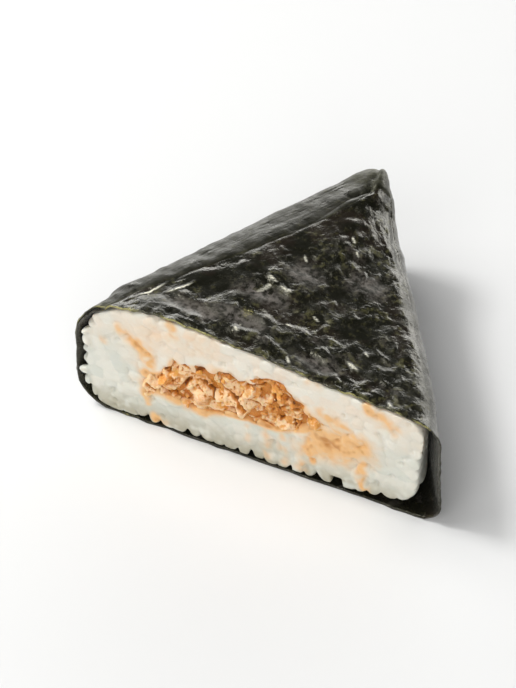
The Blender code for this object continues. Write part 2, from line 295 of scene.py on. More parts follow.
# Crevices of the filling, painted dark as shade too: (half width, depth, the points (x, z) of its
# line), in mm.
CREVICES = (
    (0.75, 0.7, ((22.3, 17.2), (25.6, 18.4), (28.8, 20.0))),
    (0.40, 1.1, ((27.6, 15.2), (30.2, 14.6), (32.4, 12.2))),
    (0.38, 0.9, ((32.6, 17.6), (34.4, 18.8), (36.4, 18.8))),
    (0.40, 1.2, ((37.4, 17.8), (38.0, 14.2), (38.8, 12.6))),
    (0.34, 1.0, ((38.5, 15.0), (40.4, 16.2), (42.2, 16.4))),
    (0.42, 1.3, ((43.4, 16.0), (42.7, 12.0))),
    (0.34, 0.9, ((21.2, 13.8), (20.4, 12.2), (19.0, 9.4))),
    (0.34, 0.8, ((13.6, 10.4), (15.2, 9.2))),
    (0.30, 0.8, ((23.4, 14.6), (26.0, 13.4), (26.4, 11.2))),
    (0.30, 0.7, ((33.0, 14.8), (35.4, 13.4), (35.8, 11.4))),
    (0.34, 0.9, ((17.3, 18.4), (17.5, 14.6))),
)
# Marks of oil on the rice: (half width, strength, the points (x, z) of its line), in mm.
OIL_MARKS = (
    (2.9, 0.80, ((46.4, 10.4), (52.2, 11.2))),
    (1.9, 0.52, ((43.5, 7.4), (51.0, 8.0))),
    (1.2, 0.56, ((46.4, 17.0), (48.6, 16.2), (49.6, 14.4))),
    (0.95, 0.62, ((50.8, 15.2), (52.6, 14.4), (54.4, 13.4), (54.4, 11.0))),
    (0.75, 0.66, ((45.0, 8.6), (44.3, 7.2), (44.6, 4.6))),
    (0.75, 0.72, ((54.3, 11.4), (54.0, 7.0), (54.5, 2.6))),
    (0.95, 0.66, ((55.4, 22.4), (56.0, 21.3), (57.6, 20.8))),
    (1.05, 0.66, ((57.4, 21.2), (58.4, 19.8), (60.0, 19.4))),
    (1.0, 0.46, ((8.0, 21.0), (11.4, 18.8))),
    (1.25, 0.72, ((11.8, 18.4), (13.4, 17.0), (13.6, 12.6))),
    (1.1, 0.50, ((17.2, 26.3), (18.2, 25.4), (18.6, 23.8))),
    (0.80, 0.28, ((44.0, 24.0), (45.4, 23.8))),
    (0.50, 0.66, ((24.0, 8.4), (24.3, 6.4))),
    (0.50, 0.55, ((13.0, 6.6), (13.6, 5.0))),
    (0.75, 0.78, ((14.9, 1.8), (16.3, 1.3))),
    (0.80, 0.30, ((36.0, 9.4), (36.3, 2.2))),
    (0.80, 0.32, ((39.1, 8.6), (39.5, 2.2))),
    (0.95, 0.40, ((42.4, 9.6), (42.7, 2.2))),
    (0.70, 0.24, ((32.4, 8.0), (32.8, 3.0))),
    (0.60, 0.30, ((4.6, 17.6), (5.4, 16.4))),
    (2.6, 0.22, ((14.0, 22.4), (24.0, 23.4))),
)
# Gaps in the foot of the rice: (x, half width), in mm.
FOOT_GAPS = ((49.3, 1.5), (13.0, 0.6), (18.0, 0.8), (59.6, 0.9))


# ---------------------------------------------------------------- settings


def length_setting(name, description, default):
    """A size in metres."""
    return FloatProperty(
        name=name, description=description, default=default, min=0.0, unit="LENGTH", precision=5
    )


def colour_setting(name, description, default):
    """A linear colour."""
    return FloatVectorProperty(
        name=name, description=description, default=default, size=3, min=0.0, max=1.0,
        subtype="COLOR",
    )


class WrapSettings(bpy.types.PropertyGroup):
    sheet: length_setting("Sheet", "Thickness of the seaweed sheet", 0.0003)
    relief: length_setting("Grain relief", "How far grains lift the sheet", 0.00050)
    undulation: length_setting("Undulation", "Height of the sheet's broad waves", 0.00045)
    crumple: length_setting("Crumple", "Height of the sheet's crumpled facets", 0.00030)
    pucker: length_setting("Pucker", "Height of the sheet's short sharp puckers", 0.00019)
    puckers: IntProperty(name="Puckers", description="Number of short puckers", default=300, min=0)
    crinkle: length_setting("Crinkle", "Height of the sheet's fine crinkles", 0.00011)
    dark: colour_setting("Dark", "Main colour of the sheet", (0.0046, 0.0046, 0.0022))
    # Olive: thin places, and crests of crinkles and folds, where it is partly a painted highlight.
    olive: colour_setting("Olive", "Thin and raised places", (0.068, 0.064, 0.026))
    brown: colour_setting("Brown", "Hollows of the sheet", (0.0105, 0.0072, 0.0044))
    # Painted sheen: pale grey colour standing in for the sheen where the sheet lies smooth, and in
    # patches.
    painted_sheen: colour_setting("Bloom", "Pale bloom where the sheet lies smooth", (0.135, 0.120, 0.108))
    # Glint: a painted highlight, pale colour on the strokes' wet crests.
    glint: colour_setting("Glint", "Wet crests that catch the light", (0.86, 0.84, 0.70))
    # Fibre: torn fibres along the cut; on fold crests it is partly a painted highlight.
    fibre: colour_setting("Fibre", "Torn fibres along the cut and on crests", (0.33, 0.30, 0.11))
    worn: colour_setting("Worn", "Worn fibres of the flap at the tip", (0.105, 0.105, 0.062))


class RiceSettings(bpy.types.PropertyGroup):
    grain_length: length_setting("Grain length", "Length of a cooked grain", 0.0054)
    grain_width: length_setting("Grain width", "Width of a cooked grain", 0.0027)
    spacing: length_setting("Spacing", "Least distance between grain centres", 0.0020)
    seam: length_setting("Seam", "Depth of the seams between cut grains", 0.00009)
    white: colour_setting("White", "Main colour of the rice", (0.86, 0.83, 0.73))
    # Cool: painted shade, low on the cut, at its ends and in the seams between grains.
    cool_shade: colour_setting("Cool", "Wetter, cooler rice", (0.72, 0.725, 0.64))
    # Wet: wet rice at the foot of the cut, darker there partly as painted shade.
    wet_and_shade: colour_setting("Wet", "Rice at the wet foot of the cut", (0.47, 0.435, 0.32))
    warm: colour_setting("Warm", "Rice along the top of the cut", (0.88, 0.77, 0.63))
    stain: colour_setting("Stain", "Rice that has taken up oil", (0.90, 0.54, 0.23))
    soaked: colour_setting("Soaked", "Rice soaked in oil and sauce", (0.62, 0.26, 0.05))


class FillingSettings(bpy.types.PropertyGroup):
    flake: length_setting("Flake", "Half the size of a large flake", 0.0025)
    bit: length_setting("Bit", "Half the size of a small flake", 0.0013)
    spacing: length_setting("Spacing", "Least distance between large flakes", 0.0023)
    crumb: length_setting("Crumb", "Half the size of a loose crumb", 0.00042)
    crumbs: IntProperty(name="Crumbs", description="Number of loose crumbs", default=36, min=1)
    grit: length_setting("Grit", "Height of the flakes' fine lumps", 0.00024)
    pale: colour_setting("Pale", "Pale flesh of the flakes", (1.0, 0.70, 0.41))
    orange: colour_setting("Orange", "Main colour of the flakes", (0.82, 0.36, 0.070))
    golden: colour_setting("Golden", "Golden patches of the flakes", (0.86, 0.44, 0.07))
    # Sauced and deep colours go where sauce lies and, as painted shade, in hollows, further back
    # and under the rice.
    sauced: colour_setting("Sauced", "Flakes coated with sauce", (0.62, 0.22, 0.022))
    deep: colour_setting("Deep", "Sauce in the hollows", (0.20, 0.052, 0.003))


class StageSettings(bpy.types.PropertyGroup):
    floor: colour_setting("Floor", "Colour of the floor", (0.775, 0.775, 0.765))
    azimuth: FloatProperty(
        name="Azimuth", description="Camera's turn round the half", subtype="ANGLE",
        default=math.radians(25.7),
    )
    elevation: FloatProperty(
        name="Elevation", description="Camera's height angle", subtype="ANGLE",
        default=math.radians(46.0),
    )
    lens: FloatProperty(name="Lens", description="Focal length, mm", default=600.0, min=1.0)
    span: length_setting("Span", "Height that the frame takes in", 0.118)


# ---------------------------------------------------------------- form of the wrap


def blend(pair, share):
    """The value a share of the way from the pair's first number to its second."""
    return pair[0] + (pair[1] - pair[0]) * min(max(share, 0.0), 1.0)


def smooth(low, high, values):
    """0 below low, 1 above high, and an S-shaped rise between them."""
    share = np.clip((values - low) / (high - low), 0.0, 1.0)
    return share * share * (3 - 2 * share)


def tip_centre():
    """Centre of the arc that rounds the tip in plan."""
    left_start = TIP_RADIUS / math.sin(LEFT_ANGLE)
    right_start = CUT_WIDTH - TIP_RADIUS / math.sin(RIGHT_ANGLE)
    left_run = 1 / math.tan(LEFT_ANGLE)
    right_run = 1 / math.tan(RIGHT_ANGLE)
    y = (right_start - left_start) / (left_run + right_run)
    return left_start + y * left_run, y


TIP_X, TIP_Y = tip_centre()
DEPTH = TIP_Y + TIP_RADIUS


def walls_at(y, inset):
    """The x of the left and right walls at depth y, moved inwards by inset."""
    radius = TIP_RADIUS - inset
    along = min(y / TIP_Y, 1.0)
    swell = math.sin(math.pi * along)
    right_swell = RIGHT_BULGE * swell - RIGHT_TAPER * math.sin(math.pi * along**3)
    arc = math.sqrt(max(radius**2 - (y - TIP_Y) ** 2, 0.0))
    if y < TIP_Y + radius * math.cos(LEFT_ANGLE):
        left = inset / math.sin(LEFT_ANGLE) + y / math.tan(LEFT_ANGLE) - LEFT_BULGE * swell
    else:
        left = TIP_X - arc
    if y < TIP_Y + radius * math.cos(RIGHT_ANGLE):
        right = inset / math.sin(RIGHT_ANGLE) + y / math.tan(RIGHT_ANGLE) - right_swell
        right = CUT_WIDTH - right
    else:
        right = TIP_X + arc
    return left, right


def tip_share(y):
    """0 along the walls, rising to 1 at the end of the tip as a quarter circle does."""
    along = min(max((y - TIP_Y) / TIP_RADIUS, 0.0), 1.0)
    return 1 - math.sqrt(1 - along**2)


def section_corners(y, inset):
    """The five corners of the section at depth y, anticlockwise from low left."""
    left, right = walls_at(y, inset)
    share = y / DEPTH
    drop = inset + TIP_TOP_DROP * tip_share(y)
    foot = inset + TIP_FOOT_LIFT * tip_share(y)
    reach = RIDGE_REACH + RIDGE_REACH_SWELL * math.sin(math.pi * share) ** 2
    reach += RIDGE_SPREAD_AT_CUT * math.exp(-((y / RIDGE_SPREAD_DEPTH) ** 2))
    reach += RIDGE_WANDER * math.sin(2 * math.pi * RIDGE_WANDER_TURNS * share)
    ridge = left + min(reach, RIDGE_WIDEST_SHARE * (right - left))
    narrowing = 1 - min((right - ridge) / RIDGE_FALL_WIDTH, 1.0)
    right_height = blend(RIGHT_HEIGHTS, share) - drop
    ridge_height = blend(RIDGE_HEIGHTS, share) - drop
    ridge_height += (right_height - ridge_height) * narrowing
    return (
        (left, foot),
        (right, foot),
        (right, right_height),
        (ridge, ridge_height),
        (left, blend(SHOULDER_HEIGHTS, y / SHOULDER_RISE_DEPTH) - drop),
    )


def corner_arc(before, corner, after, fillet):
    """Points round one corner; the middle one is where two spans of the outline meet."""
    before, corner, after = (np.array(point) for point in (before, corner, after))
    in_length = np.linalg.norm(before - corner)
    out_length = np.linalg.norm(after - corner)
    reach = min(fillet, FILLET_REACH * in_length, FILLET_REACH * out_length)
    start = corner + (before - corner) * reach / in_length
    end = corner + (after - corner) * reach / out_length
    share = np.linspace(0.0, 1.0, 2 * FILLET_STEPS + 1)[:, None]
    parts = ((1 - share) ** 2, 2 * math.sqrt(0.5) * share * (1 - share), share**2)
    return (parts[0] * start + parts[1] * corner + parts[2] * end) / sum(parts)


def resampled(path, count):
    """count points evenly along a path, from its start and without its end."""
    lengths = np.linalg.norm(np.diff(path, axis=0), axis=1)
    travel = np.concatenate(((0.0,), np.cumsum(lengths)))
    stops = np.arange(count) / count * travel[-1]
    return np.stack([np.interp(stops, travel, path[:, i]) for i in range(path.shape[1])], 1)


def outline_at(y, inset, counts):
    """The section at depth y as an array of (x, z), with the given points on each span."""
    corners = section_corners(y, inset)
    share = y / DEPTH
    pairs = zip(FILLETS_AT_CUT, FILLETS_AT_TIP)
    fillets = [max(blend(pair, share) - inset, SMALLEST_FILLET) for pair in pairs]
    count = len(corners)
    arcs = [
        corner_arc(corners[i - 1], corners[i], corners[(i + 1) % count], fillets[i])
        for i in range(count)
    ]
    spans = []
    for i in range(count):
        after = arcs[(i + 1) % count]
        middle = len(after) // 2
        spans.append(resampled(np.vstack((arcs[i][middle:], after[: middle + 1])), counts[i]))
    outline = np.vstack(spans)
    ridge, right = corners[3][0], corners[2][0]
    foot, top = corners[0][1], corners[3][1]
    across = np.clip((outline[:, 0] - ridge) / (right - ridge), 0.0, 1.0)
    upper = np.clip((outline[:, 1] - foot) / (top - foot), 0.0, 1.0)
    dome = TOP_DOME * np.sin(math.pi * across) + TOP_SKEW * np.sin(2 * math.pi * across)
    outline[:, 1] += dome * upper**2
    return outline


def rice_outline_at(y, inset, counts):
    """The outline of the rice at depth y: the wrap's inside, slack at the right of the cut."""
    outline = outline_at(y, inset, counts)
    slack = max(1 - y / RICE_SLACK_DEPTH, 0.0) ** 2
    left, right = walls_at(y, inset)
    across = (outline[:, 0] - left) / (right - left)
    lift_share = np.clip((across - RICE_LIFT_START) / (1 - RICE_LIFT_START), 0.0, 1.0)
    foot_share = np.clip(1 - outline[:, 1] / RIGHT_HEIGHTS[0], 0.0, 1.0)
    outline[:, 0] = left + (outline[:, 0] - left) * (1 - RICE_SLACK * slack / (right - left))
    outline[:, 0] -= RICE_FOOT_SLACK * slack * across**4 * foot_share
    outline[:, 1] += RICE_END_LIFT * slack * lift_share**2 * foot_share
    return outline


def filling_outline(count):
    """The outline of the filling at the cut as an array of (x, z)."""
    turn = np.arange(count) * 2 * math.pi / count
    ripple = 1 + sum(a * np.sin(k * turn + phase) for k, a, phase in FILLING_RIPPLES)
    power = 2 / FILLING_SQUARENESS
    x = FILLING_HALF_SIZE[0] * (1 + ripple) / 2 * np.sign(np.cos(turn))
    x *= np.abs(np.cos(turn)) ** power
    z = FILLING_HALF_SIZE[1] * ripple * np.sign(np.sin(turn)) * np.abs(np.sin(turn)) ** power
    z += FILLING_SLOPE * x
    return np.stack((FILLING_CENTRE[0] + x, FILLING_CENTRE[1] + z), 1)


class Boundary:
    """A closed outline that changes with depth, measured by turn and distance from its middle."""

    STEPS = 360
    TURNS = np.linspace(-math.pi, math.pi, STEPS + 1)

    def __init__(self, outlines, depths):
        self.depths = np.array(depths)
        self.centres = np.array([(o.min(0) + o.max(0)) / 2 for o in outlines])
        self.reach = []
        for outline, centre in zip(outlines, self.centres):
            arm = outline - centre
            turn = np.arctan2(arm[:, 1], arm[:, 0])
            order = np.argsort(turn)
            distance = np.linalg.norm(arm, axis=1)[order]
            self.reach.append(np.interp(self.TURNS, turn[order], distance, period=2 * math.pi))
        self.reach = np.array(self.reach)

    def share(self, points):
        """Each point's share of the way out to the outline, the middle, and the whole way."""
        level = np.interp(points[:, 1], self.depths, np.arange(len(self.depths)))
        low = np.minimum(level.astype(int), len(self.depths) - 2)
        part = (level - low)[:, None]
        centre = self.centres[low] * (1 - part) + self.centres[low + 1] * part
        arm = points[:, (0, 2)] - centre
        turn = (np.arctan2(arm[:, 1], arm[:, 0]) + math.pi) / (2 * math.pi) * self.STEPS
        step = np.minimum(turn.astype(int), self.STEPS - 1)
        rest = turn - step
        reach = 0.0
        for row, weight in ((low, 1 - part[:, 0]), (low + 1, part[:, 0])):
            ring = self.reach[row, step] * (1 - rest) + self.reach[row, step + 1] * rest
            reach = reach + weight * ring
        return np.linalg.norm(arm, axis=1) / reach, centre, reach

    def keep_inside(self, points, margin):
        """Pulls the points that lie outside the outline, less a margin, back onto it."""
        share, centre, reach = self.share(points)
        most = 1 - margin / reach
        pull = np.minimum(1.0, most / np.maximum(share, 1e-9))
        kept = points.copy()
        kept[:, 0] = centre[:, 0] + (points[:, 0] - centre[:, 0]) * pull
        kept[:, 2] = centre[:, 1] + (points[:, 2] - centre[:, 1]) * pull
        return kept


# ---------------------------------------------------------------- form of the rice

# Kinds of rice grain, by the stretch of the cut that they lie in.
INSIDE, EDGE, FOOT, LEFT_END = range(4)
# Points on the spans of the rice's outline, where it is measured and where it is modelled.
SIGHT_COUNTS = (60, 30, 60, 16, 30)
SLAB_COUNTS = (110, 44, 110, 24, 44)
RICE_INSET = 0.00048
# The slab of grains at the cut, the core behind it, and how far the core laps into the slab.
SLAB_DEPTH = 0.0056
SLAB_DEPTHS = (0.0022, 0.0045, SLAB_DEPTH)
SLAB_INSET = RICE_INSET + 0.0011
SLAB_RIDGES = (0.0030, 2.2)
SLAB_STEP = 0.00010
SLAB_RELIEF = 0.00030
CORE_LAP = 0.0012
CORE_INSET = RICE_INSET + 0.0009
CORE_DEPTHS = (SLAB_DEPTH, 0.012, 0.018, 0.026, 0.034, 0.042, TIP_Y)
# The hollow of the slab behind the filling, by the share of the filling's outline, and the gap
# under the slab, which closes with depth.
FILLING_SEAT = (0.80, 1.0)
FILLING_SEAT_DEPTH = 0.0028
FOOT_GAP = 0.0011
FOOT_GAP_DEPTH = 0.0035
# Grains along the edge of the cut: how many steps the edge is measured in, how far inside it
# their centres lie, their spacing as a share of the others', and the width they take up.
EDGE_STEPS = 400
BORDER_INSET = 0.00125
BORDER_SPACING = 1.04
BORDER_WIDTH = 0.0016
# Places that are tried for the grains inside the cut, and for the flakes.
TRIES = 9000
# The left end of the cut, up to this x and height: its grains are smaller and stand out from the
# cut, and in front of the overhang's depth they reach past the outline.
LEFT_END_BOX = (0.0035, 0.0215)
LEFT_END_SIZE = (0.50, 0.62, 0.62)
LEFT_END_STEP = 0.00045
LEFT_END_OVERHANG = 0.0009
OVERHANG_DEPTH = 0.0002
# The foot of the cut: its stretch along x, and how high above the lowest grains it reaches.
FOOT_STRETCH = (0.007, 0.062)
FOOT_BAND = 0.0006
# How far grains of each kind spread along x, y and z before they are turned to unit length.
GRAIN_SPREADS = {
    INSIDE: (1.0, 1.0, 0.7),
    EDGE: (1.0, 1.0, 0.4),
    FOOT: (0.30, 0.35, 0.2),
    LEFT_END: (1.0, 0.6, 0.8),
}
# Whole grains further back in the gap at the right: where it starts, and the depth of each row.
GAP_START = 0.060
GAP_DEPTHS = (0.0032, 0.0056)
GAP_SCATTER = 0.0005
# Depths of the grains' centres behind the cut, along its edge and inside it, how far those at
# its foot rise, and how far the knife's cut steps from grain to grain, more so low down.
EDGE_DEPTHS = (0.0002, 0.0011)
INSIDE_DEPTHS = (-0.0004, 0.0007)
FOOT_RISES = (-0.0001, 0.0010)
CUT_STEP = 0.00012
LOW_CUT_STEP = 0.00016
# A cut grain: the highest level of its cut, how far the cut bulges, its rings on the cut and up
# the rest of the grain, and the points round each ring.
HIGHEST_CUT = 0.93
CUT_BULGE = 0.05
CUT_RINGS = (0.5, 0.88)
GRAIN_RINGS = (0.0, 0.12, 0.3, 0.5, 0.7, 0.88, 0.97)
GRAIN_SEGMENTS = 16
# Small holes between the grains: where on the cut (low x and z, high x and z), how many are
# tried, their radii and depths, and the height below which most are kept.
PIT_AREA = ((0.004, 0.0015), (0.064, 0.024))
PIT_TRIES = 90
PIT_RADII = (0.0003, 0.0006)
PIT_DEPTHS = (0.0003, 0.0009)
PIT_HEIGHT = 0.009
# Edge lengths of the cells that grains and flakes are fused in.
VOXEL = 0.00023
FLAKE_VOXEL = 0.00019

# Noises of the rice: the size of their features and a seed.
STAIN_EDGE = (0.0024, 7.7)
STAIN_GRAIN = (0.0009, 1.3)
STAIN_SHIFT = (0.0022, 3.1)
STAIN_PATCHES = (0.0016, 5.2)
WARM_BLOTCHES = ((0.0045, 2.0), (0.0018, 6.0))
WET_BLOTCHES = ((0.0030, 6.6), (0.0011, 1.9))
OPEN_SEAMS = (0.0042, 4.7)
# Stretches over which a mask of the rice fades: heights, or distances from the left of the cut.
STAINED_BELOW = (0.012, 0.018)
WARM_ABOVE = (0.008, 0.021)
COOL_LEFT = (0.0, 0.016)
COOL_RIGHT = (0.054, 0.066)
WET_BELOW = (0.0008, 0.0076)
LOW_ON_CUT = (0.002, 0.012)
# Depths over which the cut's seams and small holes fade.
FACE_FADE = (0.0008, 0.0020)

RICE_DEPTHS = [i * 2 * MM for i in range(int(TIP_Y / (2 * MM)) + 1)]
RICE_BOUNDARY = Boundary(
    [rice_outline_at(y, RICE_INSET, SIGHT_COUNTS) for y in RICE_DEPTHS], RICE_DEPTHS
)
FILLING_BOUNDARY = Boundary([filling_outline(120)] * 2, (-0.01, 0.05))


# ---------------------------------------------------------------- mesh tools


def noise_at(points, scale, seed=0.0, stretch=(1.0, 1.0, 1.0)):
    """Smooth noise from -1 to 1 at each point. scale is the size of its features."""
    scaled = points / (scale * np.array(stretch)) + seed
    return np.array([noise.noise(point) for point in scaled])


def ridges_at(points, scale, seed):
    """Noise with sharp crests, from 0 to about 1."""
    scaled = points / scale + seed
    values = [noise.ridged_multi_fractal(point, 0.9, 2.1, 3, 1.0, 2.0) for point in scaled]
    return np.clip(np.array(values) / 2.2, 0.0, 1.2)


def curls_at(points, scale, width, seed):
    """Short winding crests, from 0 to 1, of a given width as a share of their scale."""
    bends = [noise_at(points, 0.7 * scale, seed + 3.1 * turn) for turn in range(3)]
    bent = points + 0.35 * scale * np.stack(bends, -1)
    crest_olive_and_highlight = np.exp(-((noise_at(bent, scale, seed) / width) ** 2))
    return crest_olive_and_highlight * smooth(-0.15, 0.35, noise_at(points, 1.3 * scale, seed + 11.0))


def turned(points, angle):
    """The points turned about +Z, so that +X of the result runs along the angle."""
    cos, sin = math.cos(angle), math.sin(angle)
    x, y, z = points.T
    return np.stack((x * cos + y * sin, y * cos - x * sin, z), 1)


def at_depth(spots, y):
    """The (x, z) spots as points at depth y, which is one depth or one for each spot."""
    depths = np.broadcast_to(y, spots.shape[:-1])
    return np.stack((spots[..., 0], depths, spots[..., 1]), -1)


def grid_faces(rows, columns, first=0):
    """Quads between successive rings of a closed grid, as an array."""
    row, column = np.meshgrid(np.arange(rows - 1), np.arange(columns), indexing="ij")
    a = row * columns + column
    b = row * columns + (column + 1) % columns
    return np.stack((a, b, b + columns, a + columns), -1).reshape(-1, 4) + first


def capped_rings(rings, middle):
    """A closed body of rings from a fan round its middle, in front, to a flat cap."""
    rows, columns = rings.shape[:2]
    hub = rows * columns
    points = np.vstack((rings.reshape(-1, 3), [[middle[0], rings[0, :, 1].mean(), middle[1]]]))
    faces = grid_faces(rows, columns).tolist()
    faces += [[hub, (i + 1) % columns, i] for i in range(columns)]
    faces.append(((rows - 1) * columns + np.arange(columns)).tolist())
    return points, [face[::-1] for face in faces]


def two_sided_faces(rows, columns):
    """Faces of a sheet made of an open outer grid, the same grid inside it, and its rim."""
    a = (np.arange(rows - 1)[:, None] * columns + np.arange(columns - 1)[None]).ravel()
    quads = np.stack((a, a + 1, a + 1 + columns, a + columns), 1)
    inside = rows * columns
    rim = np.concatenate((
        np.arange(columns),
        np.arange(1, rows) * columns + columns - 1,
        (rows - 1) * columns + np.arange(columns - 2, -1, -1),
        np.arange(rows - 2, 0, -1) * columns,
    ))
    after = np.roll(rim, -1)
    sides = np.stack((rim, after, after + inside, rim + inside), 1)[:, ::-1]
    return np.vstack((quads, quads[:, ::-1] + inside, sides))[:, ::-1].tolist()


def fused(points, faces, voxel):
    """One closed skin round everything that the closed bodies fill, as points and faces."""
    mesh = bpy.data.meshes.new("fusing")
    mesh.from_pydata(points.tolist(), [], faces)
    body = bpy.data.objects.new("fusing", mesh)
    bpy.context.scene.collection.objects.link(body)
    remesh = body.modifiers.new("fuse", "REMESH")
    remesh.mode = "VOXEL"
    remesh.voxel_size = voxel
    skin = body.evaluated_get(bpy.context.evaluated_depsgraph_get()).to_mesh()
    new_points = np.empty(len(skin.vertices) * 3)
    skin.vertices.foreach_get("co", new_points)
    new_faces = [tuple(face.vertices) for face in skin.polygons]
    bpy.data.objects.remove(body)
    bpy.data.meshes.remove(mesh)
    return new_points.reshape(-1, 3), new_faces


def neighbour_means(count, faces, fields, rounds):
    """Fields on points, each averaged with the neighbours along edges a number of times."""
    quads = np.array(faces)
    ends = np.concatenate([quads[:, (i, (i + 1) % quads.shape[1])] for i in range(quads.shape[1])])
    starts = np.concatenate((ends[:, 0], ends[:, 1]))
    others = np.concatenate((ends[:, 1], ends[:, 0]))
    number = np.bincount(starts, minlength=count)
    for _ in range(rounds):
        for i, field in enumerate(fields):
            around = np.bincount(starts, field[others], minlength=count) / number
            fields[i] = (field + around) / 2
    return fields


def vertex_normals(points, faces):
    """Unit normals of the points of a skin of quads."""
    quads = np.array(faces)
    corners = points[quads]
    face_normals = np.cross(corners[:, 2] - corners[:, 0], corners[:, 3] - corners[:, 1])
    normals = np.zeros_like(points)
    for i in range(4):
        np.add.at(normals, quads[:, i], face_normals)
    return normals / np.maximum(np.linalg.norm(normals, axis=1), 1e-12)[:, None]


def point_tree(points):
    """A search tree over the points."""
    tree = kdtree.KDTree(len(points))
    for i, point in enumerate(points):
        tree.insert(point, i)
    tree.balance()
    return tree


def line_distance(points, line):
    """Distance of (x, z) points from a line through the given points."""
    nearest = np.full(len(points), np.inf)
    line = np.array(line, float)
    for start, end in zip(line[:-1], line[1:]):
        run = end - start
        share = np.clip((points - start) @ run / (run @ run), 0.0, 1.0)
        nearest = np.minimum(nearest, np.linalg.norm(points - start - share[:, None] * run, axis=1))
    return nearest


def make_piece(name, points, faces, material, replaces=(), attributes=None):
    """Makes a mesh object from part-space points, and rides it on the body."""
    mesh = bpy.data.meshes.new(name)
    mesh.from_pydata((points + np.array(ORIGIN)).tolist(), [], faces)
    mesh.validate()
    mesh.update()
    mesh.shade_smooth()
    for key, values in (attributes or {}).items():
        attribute = mesh.attributes.new(key, "FLOAT", "POINT")
        attribute.data.foreach_set("value", np.asarray(values, np.float32))
    mesh.materials.append(material)
    piece = bpy.data.objects.new(name, mesh)
    bpy.context.scene.collection.objects.link(piece)
    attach(piece, "root")
    if replaces:
        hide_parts(*replaces)
    return piece


def spread_picks(candidates, spacing, taken=()):
    """Indexes of candidates, in order, that keep their distance from those picked before."""
    cells = {}
    picks = []

    def cell_of(point):
        return tuple(int(math.floor(value / spacing)) for value in point)

    def is_free(point):
        home = cell_of(point)
        for offset in np.ndindex(*(3,) * len(point)):
            near = tuple(h + o - 1 for h, o in zip(home, offset))
            for other in cells.get(near, ()):
                if math.dist(point, other) < spacing:
                    return False
        return True

    for point in taken:
        cells.setdefault(cell_of(point), []).append(tuple(point))
    for i, point in enumerate(candidates):
        if is_free(point):
            cells.setdefault(cell_of(point), []).append(tuple(point))
            picks.append(i)
    return picks


# ---------------------------------------------------------------- material tools


class Value:
    """A number socket. Arithmetic on it adds Math nodes."""

    def __init__(self, finish, socket):
        self.finish = finish
        self.socket = socket

    def _math(self, operation, *operands):
        inputs = dict(enumerate(operands))
        return self.finish.node("ShaderNodeMath", {"operation": operation}, inputs)

    def __add__(self, other):
        return self._math("ADD", self, other)

    def __radd__(self, other):
        return self._math("ADD", other, self)

    def __sub__(self, other):
        return self._math("SUBTRACT", self, other)

    def __rsub__(self, other):
        return self._math("SUBTRACT", other, self)

    def __mul__(self, other):
        return self._math("MULTIPLY", self, other)

    def __rmul__(self, other):
        return self._math("MULTIPLY", other, self)


class Finish:
    """A material with a Principled shader, and the few ways its nodes are added."""

    def __init__(self, name, **settings):
        self.material = bpy.data.materials.new(name)
        self.material.use_nodes = True
        self.tree = self.material.node_tree
        self.shader = self.tree.nodes["Principled BSDF"]
        for key, value in settings.items():
            self.shader.inputs[key.replace("_", " ")].default_value = value

    def node(self, kind, settings=None, inputs=None, output=0):
        """Adds a node: its settings first, then the values or links of its sockets."""
        made = self.tree.nodes.new(kind)
        for key, value in (settings or {}).items():
            setattr(made, key, value)
        for key, value in (inputs or {}).items():
            self.join(made.inputs[key], value)
        return Value(self, made.outputs[output])

    def join(self, socket, value):
        """Links a socket to a value's node, or sets it to a plain number or colour."""
        if isinstance(value, Value):
            self.tree.links.new(value.socket, socket)
        elif hasattr(value, "__len__") and socket.type == "RGBA":
            socket.default_value = (*value[:3], 1.0)
        else:
            socket.default_value = value

    def feed(self, name, value):
        """Links a value to one of the shader's own sockets."""
        self.join(self.shader.inputs[name], value)

    def place(self, turn=0.0, stretch=(1.0, 1.0, 1.0)):
        """The object's own coordinates in mm, turned and stretched."""
        where = self.node("ShaderNodeTexCoord", output="Object")
        size = tuple(1000.0 / value for value in stretch)
        turned_place = self.node(
            "ShaderNodeVectorRotate", {"rotation_type": "Z_AXIS"}, {"Vector": where, "Angle": -turn}
        )
        return self.node(
            "ShaderNodeVectorMath", {"operation": "MULTIPLY"}, {0: turned_place, 1: size}
        )

    def noise(self, place, scale, detail=3.0, roughness=0.55, kind="FBM", distortion=0.0):
        """A noise texture from 0 to 1."""
        values = {"Vector": place, "Scale": scale, "Detail": detail, "Roughness": roughness}
        values["Distortion"] = distortion
        return self.node("ShaderNodeTexNoise", {"noise_type": kind}, values)

    def attribute(self, name):
        """A value that the mesh holds for each of its points."""
        return self.node("ShaderNodeAttribute", {"attribute_name": name}, output="Fac")

    def rise(self, value, low, high):
        """0 below low, 1 above high, and an S-shaped rise between them."""
        values = {"Value": value, "From Min": low, "From Max": high}
        return self.node("ShaderNodeMapRange", {"interpolation_type": "SMOOTHSTEP"}, values)

    def mix(self, factor, first, second):
        """A colour between two colours."""
        values = {0: factor, 6: first, 7: second}
        return self.node("ShaderNodeMix", {"data_type": "RGBA"}, values, output=2)

    def bump(self, height, distance, strength):
        """Normals tilted by a height map. distance is the height of its full range."""
        values = {"Height": height, "Distance": distance, "Strength": strength}
        return self.node("ShaderNodeBump", None, values)


# ---------------------------------------------------------------- the wrap


